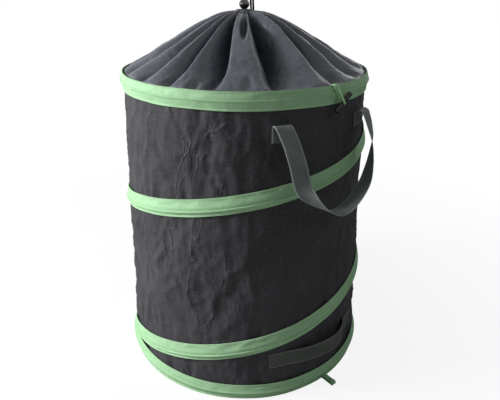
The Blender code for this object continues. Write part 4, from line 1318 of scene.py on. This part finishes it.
@dataclass
class Drawcord:
    """The drawcord: its ring in the hem, and its two free strands down the back to their knot."""

    diameter: float = 0.0042
    pitch: float = 0.0050
    ring_radius: float = 0.0145
    ring_stops: int = 12
    opening: float = math.radians(40)
    lock_turn: float = math.radians(140)
    # The way in from the hem: share of the ring's radius, share of the half opening, share of the climb
    way_in: Table = ((1.00, 1.000, 0.00), (0.90, 0.650, 0.03), (0.62, 0.750, 0.14), (0.36, 1.375, 0.42))
    # The free strands: distance from the axis, angle in degrees, height
    route: Table = (
        (0.0000, 140, 0.7359), (0.0000, 140, 0.7420), (0.0035, 100, 0.7490), (0.0110, 100, 0.7545),
        (0.0205, 106, 0.7525), (0.0290, 113, 0.7420), (0.0370, 119, 0.7280), (0.0500, 125, 0.7195),
        (0.0750, 131, 0.7090), (0.1100, 136, 0.6905), (0.1500, 139, 0.6670), (0.1900, 140, 0.6425),
        (0.2220, 140, 0.6230), (0.2440, 140, 0.6100), (0.2555, 140, 0.5990), (0.2585, 140, 0.5800),
        (0.2583, 140, 0.5300), (0.2576, 140, 0.4200), (0.2572, 140, 0.2900), (0.2570, 140, 0.1550),
    )

    @property
    def side(self) -> Vector:
        """The way from one strand to the other."""
        return polar(1, self.lock_turn - math.pi / 2)

    def ring_points(self) -> list[Vector]:
        """The route in the hem and up through the lock."""
        height = HEM_FOOT + CLOTH_THICKNESS + SEAT_GAP + self.diameter / 2
        leave = self.lock_turn + math.pi
        risers = []
        for side in (1, -1):
            strand = self.side * self.pitch / 2 * side
            riser = [
                polar(self.ring_radius * out, leave + side * self.opening * turn, mix(height, HEM_TOP, up))
                for out, turn, up in self.way_in
            ]
            levels = (HEM_TOP, LOCK_HEIGHT, LOCK_HEIGHT + 0.009)
            risers.append(riser + [strand + UP * level for level in levels])
        shares = [number / self.ring_stops for number in range(1, self.ring_stops)]
        turns = [leave + mix(self.opening, FULL_TURN - self.opening, share) for share in shares]
        return [*reversed(risers[0]), *[polar(self.ring_radius, turn, height) for turn in turns], *risers[1]]

    def build(self, finish: Material) -> None:
        section = round_section(self.diameter / 2, 14)
        points = evenly(smooth_through(self.ring_points(), 8), 120)
        ring = Shape().sweep(section, cord_stations(points)).piece("cord_in_hem", 60.0)
        dress(ring, finish, Slot.CORD, "neck", "drawcord_in_hem")
        knot = self.knot(finish)
        for word, side in (("left", 1), ("right", -1)):
            offset = self.side * self.pitch / 2 * side
            route = [polar(out, math.radians(turn), level) + offset for out, turn, level in self.route]
            points = smooth_through(route, 8)
            tail = Shape().sweep(section, cord_stations(points)).piece(f"cord_tail_{word}", 60.0)
            dress(tail, finish, Slot.CORD, "base", f"drawcord_tail_{word}", ON_BASE)
            tuple(points[0])
            length_of(points)
            [tuple(point) for point in points]

    def knot(self, finish: Material) -> Thing:
        """An overhand knot that holds both strands' ends, with two short ends below it."""
        out = polar(1, self.lock_turn)
        middle = out * self.route[-1][0] + UP * (self.route[-1][2] - 0.0085)
        steps = 64
        coils = []
        for number in range(steps + 1):
            turn = 1.5 * FULL_TURN * number / steps
            reach = 0.0042 + 0.0004 * math.sin(2 * turn)
            level = 0.0045 * math.cos(turn * 2 / 3 + 0.3)
            offset = self.side * math.cos(turn) * reach + out * math.sin(turn) * reach * 0.9
            coils.append(middle + offset + UP * level)
        wrap = round_section(self.diameter / 2 * 0.98)
        shape = Shape().sweep(wrap, cord_stations(coils))
        for word in (-1, 1):
            start = middle + self.side * word * self.pitch / 2
            # Each short end: how far down, how far aside
            falls = ((0.0, 0.0), (0.006, 0.0), (0.012, 0.0008), (0.0262, 0.0016))
            points = [start - UP * down + self.side * word * aside for down, aside in falls]
            shape.sweep(wrap, cord_stations(smooth_through(points, 6)))
        return dress(shape.piece("cord_knot", 60.0), finish, Slot.CORD, "base", "drawcord_knot", ON_BASE)


@dataclass
class Webbing:
    """The strap that all the handles are made of."""

    width: float = 0.0300
    thickness: float = 0.0014
    radius: float = BAND_RADIUS + 0.0007
    # How far the stitches stand from the strap's edge
    margin: float = 0.0035

    @property
    def section(self) -> Section:
        """The strap's section."""
        return strap_section(self.width, self.thickness)

    @property
    def face(self) -> float:
        """The radius of its outer face, where stitches lie."""
        return self.radius + self.thickness / 2 + 0.0001


@dataclass
class CarryHandle:
    """One carry handle: two sewn tabs and the strap that folds over them and hangs between."""

    side: Side
    strap: Webbing = field(default_factory=Webbing)
    tab_low: float = 0.5100
    tab_high: float = 0.5335
    fold_height: float = 0.5425
    fold_rise: float = 0.0090
    fold_reach: float = 0.0102
    drop: float = 0.1635
    stand_off: float = 0.0450
    stations: int = 150
    # Half of the loop: shares of its drop, of its half span, of its stand-off and of its quarter twist
    shares: Table = (
        (0.000, 1.000, 0.000, 0.00), (0.022, 1.000, 0.150, 0.00), (0.084, 0.990, 0.310, 0.00),
        (0.174, 0.970, 0.490, 0.00), (0.293, 0.950, 0.670, 0.02), (0.413, 0.910, 0.760, 0.05),
        (0.533, 0.870, 0.800, 0.12), (0.653, 0.800, 0.840, 0.26), (0.772, 0.660, 0.930, 0.50),
        (0.892, 0.430, 0.980, 0.78), (0.982, 0.165, 1.000, 0.97), (1.000, 0.000, 1.000, 1.00),
    )
    # The right leg twists sooner: its share of a quarter twist at the same rows
    right_twists: tuple[float, ...] = (0.0, 0.0, 0.02, 0.08, 0.22, 0.42, 0.58, 0.72, 0.84, 0.93, 0.99, 1.0)

    def half(self) -> list[tuple[Vector, float, float]]:
        """Half of the strap's course on side a, from left tab to bight, with both legs' shares of a twist."""
        fold_radius = self.strap.radius + self.fold_reach
        low = self.fold_height - self.fold_rise
        found = [(polar(self.strap.radius, -TAB_ANGLE, self.tab_high - 0.002), 0.0, 0.0)]
        for number in range(1, 6):
            turn = math.pi / 2 * number / 6
            out = fold_radius - self.fold_reach * math.cos(turn)
            found.append((polar(out, -TAB_ANGLE, low + self.fold_rise * math.sin(turn)), 0.0, 0.0))
        hinge = polar(fold_radius, -TAB_ANGLE)
        for (drop, span, reach, twist), other in zip(self.shares, self.right_twists):
            level = self.fold_height - self.drop * drop
            spot = Vector((hinge.x + self.stand_off * reach, hinge.y * span, level))
            found.append((spot, twist, other))
        return found

    def course(self) -> list[Matrix]:
        """Stations along the whole strap on side a."""
        half = self.half()
        mirrored = [(Vector((p.x, -p.y, p.z)), 2 - other) for p, _, other in reversed(half[:-1])]
        whole = [(p, twist) for p, twist, _ in half] + mirrored
        dense = smooth_through([p for p, _ in whole], 10)
        twists = smooth_through([Vector((twist, 0, 0)) for _, twist in whole], 10)
        turns = [mix(TAB_ANGLE, math.pi / 2, twist.x) for twist in evenly(dense, self.stations, twists)]
        across = [Vector((math.sin(turn), math.cos(turn), 0)) for turn in turns]
        return stations_along(evenly(dense, self.stations), across)

    def build(self, finish: Material, thread: Material) -> None:
        """Make the handle's tabs, strap and stitching."""
        letter = self.side.value
        turn = self.side.turn
        ends = [turn @ Vector((reach, 0, self.fold_height)) for reach in (0.2385, 0.2620)]
        piece = Shape().sweep(self.strap.section, self.course()).piece(f"carry_strap_{letter}", 50.0, turn)
        bridge = Bridge(f"handle_mount_{letter}", f"carry_handle_{letter}", *ends)
        dress(piece, finish, Slot.WEBBING, bridge, f"carry_loop_{letter}")
        for word, way in (("left", -1), ("right", 1)):
            self.tab(word, way * TAB_ANGLE, finish, thread)

    def tab(self, word: str, angle: float, finish: Material, thread: Material) -> None:
        """Make one sewn tab with its box of stitches."""
        letter, strap = self.side.value, self.strap
        out, tangent = polar(1, angle), polar(1, angle + math.pi / 2)
        levels = [mix(self.tab_low, self.tab_high, number / 8) for number in range(9)]
        points = [polar(strap.radius, angle, level) for level in levels]
        shape = Shape().sweep(strap.section, stations_along(points, [tangent] * len(points)))
        body, press = f"handle_mount_{letter}", Press(self.fold_height)
        piece = shape.piece(f"carry_patch_{letter}_{word}", 50.0, self.side.turn)
        dress(piece, finish, Slot.WEBBING, body, f"carry_tab_{letter}_{word}", press)
        low, high, half = self.tab_low + strap.margin, self.tab_high - 0.0020, strap.width / 2 - strap.margin
        spots = ((-half, low), (half, low), (half, high), (-half, high))
        box = [out * strap.face + tangent * reach + UP * level for reach, level in spots]
        turned = [self.side.turn @ place for place in sewn_box(box, lambda _: out, lambda spot: spot)]
        stitches = BOX_STITCH.build(f"carry_patch_stitches_{letter}_{word}", turned)
        dress(stitches, thread, Slot.WEBBING, body, press=press)


@dataclass
class TipHandle:
    """The tipping handle: a low strap that bows out between two sewn tabs."""

    strap: Webbing = field(default_factory=Webbing)
    left: float = math.radians(-25.5)
    right: float = math.radians(26)
    tab_length: float = 0.0340
    left_height: float = 0.0795
    right_height: float = 0.0905
    stand_off: float = 0.0150
    lift_off: float = 0.0062
    steps: int = 128
    # Steps of a bend on each side of the hinge
    bent: int = 12
    press: Press = Press(0.0665)
    bow: Table = ((0.0, 0.0), (0.12, 0.20), (0.30, 0.56), (0.52, 0.90), (0.72, 1.0), (0.89, 0.54), (1.0, 0.0))

    def course(self) -> list[Vector]:
        """The strap's middle line, from the left end to the right."""
        tab = self.tab_length / self.strap.radius
        first, last = self.left + tab, self.right - tab
        found = []
        for number in range(self.steps + 1):
            along = number / self.steps
            angle = mix(self.left, self.right, along)
            share = held_in((angle - first) / (last - first))
            out = self.strap.radius + self.stand_off * max(read_table(self.bow, share), 0.0)
            found.append(polar(out, angle, mix(self.left_height, self.right_height, along)))
        return found

    def build(self, finish: Material, thread: Material) -> None:
        """Make the strap, its two ends, the tabs and their stitching."""
        points = self.course()
        lifted = [i for i, point in enumerate(points) if point.xy.length > self.strap.radius + self.lift_off]
        stations = stations_along(points, [UP] * len(points))
        hinges = [at + way * self.bent for at in (lifted[0], lifted[-1]) for way in (-1, 1)]
        cuts = [0, *hinges, self.steps]
        names = ("tip_patch_left", "tip_bend_left", "tip_middle", "tip_bend_right", "tip_patch_right")
        for name, first, last in zip(names, cuts, cuts[1:]):
            piece = Shape().sweep(self.strap.section, stations[first : last + 1]).piece(name, 50.0)
            if name == "tip_middle":
                dress(piece, finish, Slot.WEBBING, "tip_handle", "tip_strap")
            elif "patch" in name:
                dress(piece, finish, Slot.WEBBING, "tip_mount", name.replace("patch", "tab"), self.press)
            else:
                ends = (first, last) if name.endswith("left") else (last, first)
                bridge = Bridge("tip_mount", "tip_handle", *[points[end] for end in ends])
                dress(piece, finish, Slot.WEBBING, bridge)
        self.box_stitch("left", points[0], points[cuts[1]], thread)
        self.box_stitch("right", points[-1], points[cuts[4]], thread)

    def box_stitch(self, word: str, near: Vector, far: Vector, thread: Material) -> None:
        """Sew a box with a cross in it through one tab."""

        def seat(spot: Vector) -> Vector:
            return polar(self.strap.face, math.atan2(spot.y, spot.x), spot.z)

        inward = (far - near).normalized()
        half = self.strap.width / 2 - self.strap.margin
        spots = ((0.0030, -half), (0.0260, -half), (0.0260, half), (0.0030, half))
        corners = [seat(near + inward * along + UP * level) for along, level in spots]
        stitches = BOX_STITCH.build(f"tip_stitches_{word}", sewn_box(corners, radial, seat))
        dress(stitches, thread, Slot.WEBBING, "tip_mount", press=self.press)


@dataclass
class Toggle:
    """A bar toggle on its elastic loop, and the floor loop that it goes through when the bag is flat."""

    side: Side
    length: float = 0.0460
    radius: float = 0.0047
    waist: float = 0.0030
    waist_length: float = 0.0070
    slope: float = math.radians(40)
    hang_angle: float = math.radians(2)
    floor_angle: float = math.radians(3)

    def ways(self, angle: float) -> tuple[Vector, Vector]:
        """The ways out from the axis and along the wall at an angle."""
        return polar(1, angle), polar(1, angle + math.pi / 2)

    def bar(self, finish: Material) -> None:
        """Turn the bar from its profile."""
        end, waist, full = self.length / 2, self.waist_length / 2, self.radius
        half = [
            (waist, self.waist), (waist + 0.0005, full * 0.86), (waist + 0.0016, full),
            (end - 0.0068, full), (end - 0.0064, full * 0.94), (end - 0.0060, full), (end - 0.0016, full),
            (end - 0.0005, full * 0.85), (end, full * 0.55), (end, 0.0),
        ]
        _, wall = self.ways(self.hang_angle)
        along = wall * math.cos(self.slope) + UP * math.sin(self.slope)
        place = Matrix.Translation(BAR_CENTRE) @ along.to_track_quat("Z", "Y").to_matrix().to_4x4()
        shape = Shape().turn_round([(-at, reach) for at, reach in reversed(half)] + half, 32)
        letter = self.side.value
        piece = shape.piece(f"bar_toggle_{letter}", 30.0, self.side.turn @ place)
        dress(piece, finish, Slot.TOGGLE, f"toggle_bar_{letter}", f"toggle_{letter}")

    def elastic(self, finish: Material) -> None:
        """The flat elastic that hangs from the rim and goes round the bar's waist."""
        out, along = self.ways(self.hang_angle)
        away = (along * math.sin(self.slope) - UP * math.cos(self.slope)).normalized()
        bar = along * math.cos(self.slope) + UP * math.sin(self.slope)
        radius = self.waist + SEAT_GAP + 0.0008
        root = out * (WALL_RADIUS + 0.0007) + UP * (RIM_HEIGHT + 0.0010)
        middle = BAR_CENTRE
        front = [
            root + along * 0.0016, root + out * 0.0062 + along * 0.0018 + UP * 0.0004,
            root + out * 0.0092 + along * 0.0035 - UP * 0.0060,
            middle.lerp(root, 0.52) + out * 0.0062 + along * 0.0006,
            middle + out * radius - away * 0.0040,
        ]
        turns = [math.pi * number / 8 for number in range(9)]
        bend = [middle + radius * (out * math.cos(turn) + away * math.sin(turn)) for turn in turns]
        back = [
            middle - out * radius - away * 0.0045, middle.lerp(root, 0.55) - along * 0.0024 + out * 0.0018,
            root + out * 0.0062 - along * 0.0010 - UP * 0.0055,
            root + out * 0.0050 - along * 0.0022 + UP * 0.0002,
            root - along * 0.0022,
        ]
        points = evenly(smooth_through([*front, *bend, *back], 8), 90)
        across, sections = [], []
        for number in range(len(points)):
            share = number / (len(points) - 1)
            near_bar = eased(1 - abs(share - 0.5) / 0.42)
            across.append(along.lerp(bar, near_bar) + out * 0.35 * math.sin(FULL_TURN * share))
            width = mix(0.0064, 0.0040, eased((share - 0.05) / 0.3))
            sections.append(strap_section(width, 0.0012, 0.1, 7))
        letter = self.side.value
        shape = Shape().sweep(lambda step: sections[step], stations_along(points, across))
        piece = shape.piece(f"elastic_loop_{letter}", 50.0, self.side.turn)
        dress(piece, finish, Slot.ELASTIC, f"toggle_cord_{letter}", f"toggle_loop_{letter}")

    def floor_loop(self, finish: Material) -> None:
        """The folded ribbon loop at the foot."""
        out, along = self.ways(self.floor_angle)
        bend, level, tip = 0.0030, 0.0075, 0.2768
        turns = [math.pi * number / 8 for number in range(9)]
        rows = [(tip + bend * math.sin(turn), -bend * math.cos(turn)) for turn in turns]
        rows = [(0.2493, -bend), *rows, (0.2640, bend * 0.7), (0.2520, bend)]
        run = evenly(smooth_through([out * reach + UP * (level + up) for reach, up in rows], 6), 60)
        shape = Shape().sweep(strap_section(0.0100, 0.0009, 0.1, 7), stations_along(run, [along] * len(run)))
        letter = self.side.value
        piece = shape.piece(f"foot_loop_{letter}", 50.0, self.side.turn)
        dress(piece, finish, Slot.BAND, f"floor_loop_body_{letter}", f"floor_loop_{letter}")


@dataclass
class BasePanel:
    """The round base cloth, with a sewn rim."""

    thickness: float = 0.0020
    segments: int = 192

    def build(self, finish: Material) -> None:
        """Make the panel."""
        out, thick, thin = WALL_RADIUS - 0.0002, self.thickness, self.thickness * 0.7
        profile = [(0.0, 0.0), (0.0, out * 0.5), (0.0, out), (thick, out), (thick, out - 0.012)]
        profile += [(thin, out - 0.0125), (thin, out * 0.5), (thin, 0.0)]
        piece = Shape().turn_round(profile, self.segments).piece("base_cloth", 40.0)
        dress(piece, finish, Slot.PANEL, "base", "base_panel")


@dataclass(frozen=True)
class Softbox:
    """A soft square lamp that looks at the bag."""

    name: str
    # Degrees round from the camera, positive to its right
    turn: float
    lift: float
    away: float
    size: float
    power: float

    def hang(self) -> None:
        """Hang it."""
        data = bpy.data.lights.new(self.name, "AREA")
        data.shape = "SQUARE"
        data.size = self.size
        data.energy = self.power
        made = in_scene(self.name, data)
        made.location = polar(self.away, FACING + math.radians(self.turn), self.lift)
        aim = UP * 0.38 - made.location
        made.rotation_euler = aim.to_track_quat("-Z", "Y").to_euler()


@dataclass
class Studio:
    """The pale floor, the soft lights and the camera at the photograph's place."""

    camera_at: tuple[float, float, float] = (0.8771, -0.6372, 0.7829)
    tilt: float = math.radians(75.34)
    heading: float = math.radians(54.0)
    lens: float = 37.96
    shift: tuple[float, float] = (0.0112, -0.1743)
    floor_size: float = 40.0
    lamps: tuple[Softbox, ...] = (
        Softbox("key softbox", -79.0, 1.12, 2.05, 0.7, 73.0),
        Softbox("front softbox", 45.0, 1.5, 1.7, 1.0, 3.6),
        Softbox("back softbox", 150.0, 1.3, 2.2, 1.2, 6.0),
    )

    def camera(self) -> None:
        """Set the camera."""
        data = bpy.data.cameras.new("photo_camera")
        data.lens = self.lens
        data.sensor_width = 36.0
        data.sensor_fit = "HORIZONTAL"
        data.shift_x, data.shift_y = self.shift
        data.clip_end = 100.0
        made = in_scene("photo_camera", data)
        made.location = self.camera_at
        made.rotation_euler = (self.tilt, 0.0, self.heading)
        bpy.context.scene.camera = made

    def floor(self) -> None:
        """Lay the floor: pale, and white to the camera apart from the bag's shadow."""
        bm = bmesh.new()
        bmesh.ops.create_grid(bm, x_segments=1, y_segments=1, size=self.floor_size / 2)
        data = bpy.data.meshes.new("studio_floor")
        bm.to_mesh(data)
        bm.free()
        made = in_scene("studio_floor", data)
        finish = bpy.data.materials.new("pale floor")
        finish.use_nodes = True
        tree = Tree(finish.node_tree)
        shader = finish.node_tree.nodes["Principled BSDF"]
        shader.inputs["Roughness"].default_value = 0.9
        shader.inputs["Specular IOR Level"].default_value = 0.1
        seen = tree.add("LightPath", {})["Is Camera Ray"]
        tone = tree.blend(seen, (0.50, 0.50, 0.50, 1.0), (0.94, 0.94, 0.94, 1.0))
        tree.put(tone, shader.inputs["Base Color"])
        away = tree.add("VectorMath", {0: tree.add("TexCoord", {})["Object"]}, operation="LENGTH")["Value"]
        white = tree.math("MULTIPLY", seen, tree.ranged(away, 0.35, 1.20, 0.88, 1.0))
        glow = tree.add("Emission", {"Color": (1.0, 1.0, 1.0, 1.0)})[0]
        both = tree.add("MixShader", {"Fac": white, 1: shader.outputs[0], 2: glow})[0]
        tree.put(both, finish.node_tree.nodes["Material Output"].inputs["Surface"])
        data.materials.append(finish)

    def world(self) -> None:
        """Soft white surroundings, white to the camera and to reflections."""
        made = bpy.data.worlds.new("studio")
        bpy.context.scene.world = made
        made.use_nodes = True
        tree = Tree(made.node_tree)
        back = made.node_tree.nodes["Background"]
        back.inputs["Color"].default_value = (1.0, 1.0, 1.0, 1.0)
        path = tree.add("LightPath", {})
        seen = tree.math("MAXIMUM", path["Is Camera Ray"], path["Is Glossy Ray"])
        seen = tree.math("MAXIMUM", seen, path["Is Transmission Ray"])
        tree.put(tree.ranged(seen, 0.0, 1.0, 0.12, 1.0), back.inputs["Strength"])

    def build(self) -> None:
        """Set everything up."""
        self.camera()
        self.floor()
        self.world()
        for lamp in self.lamps:
            lamp.hang()
        bpy.context.scene.view_settings.view_transform = "Standard"


def dress_frame(finishes: Finishes) -> None:
    """Give the CAD nodes that stay in view, or hidden inside, their finishes."""
    kept = {
        finishes.steel: ("top_hoop", "bottom_hoop", "top_ferrule", "bottom_ferrule", "cord_lock_spring"),
        finishes.lock: ("cord_lock_body", "cord_lock_plunger"),
    }
    for finish, nodes in kept.items():
        for node in nodes:
            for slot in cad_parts[node].material_slots:
                slot.material = finish
            log.info("%s: dressed in %s", node, finish.name)


def main() -> None:
    """Build every sub-assembly in order."""
    logging.basicConfig(level=logging.INFO, format="%(name)s: %(message)s")
    noise.seed_set(7)
    Studio().build()
    finishes = Finishes()
    spiral = Spiral()
    Drawcord().build(finishes.cord)
    BasePanel().build(finishes.panel)
    DrumWall(spiral).build(finishes.wall)
    WireSleeves(spiral).build(finishes.band, finishes.band_thread, finishes.steel)
    GatheredCover().build(finishes.cover)
    NeckHem().build(finishes.cover)
    TipHandle().build(finishes.shaded_webbing, finishes.webbing_thread)
    for side in Side:
        CarryHandle(side).build(finishes.webbing, finishes.webbing_thread)
        toggle = Toggle(side)
        toggle.bar(finishes.toggle)
        toggle.elastic(finishes.elastic)
        toggle.floor_loop(finishes.band)
    dress_frame(finishes)


if __name__ == "__main__":
    main()
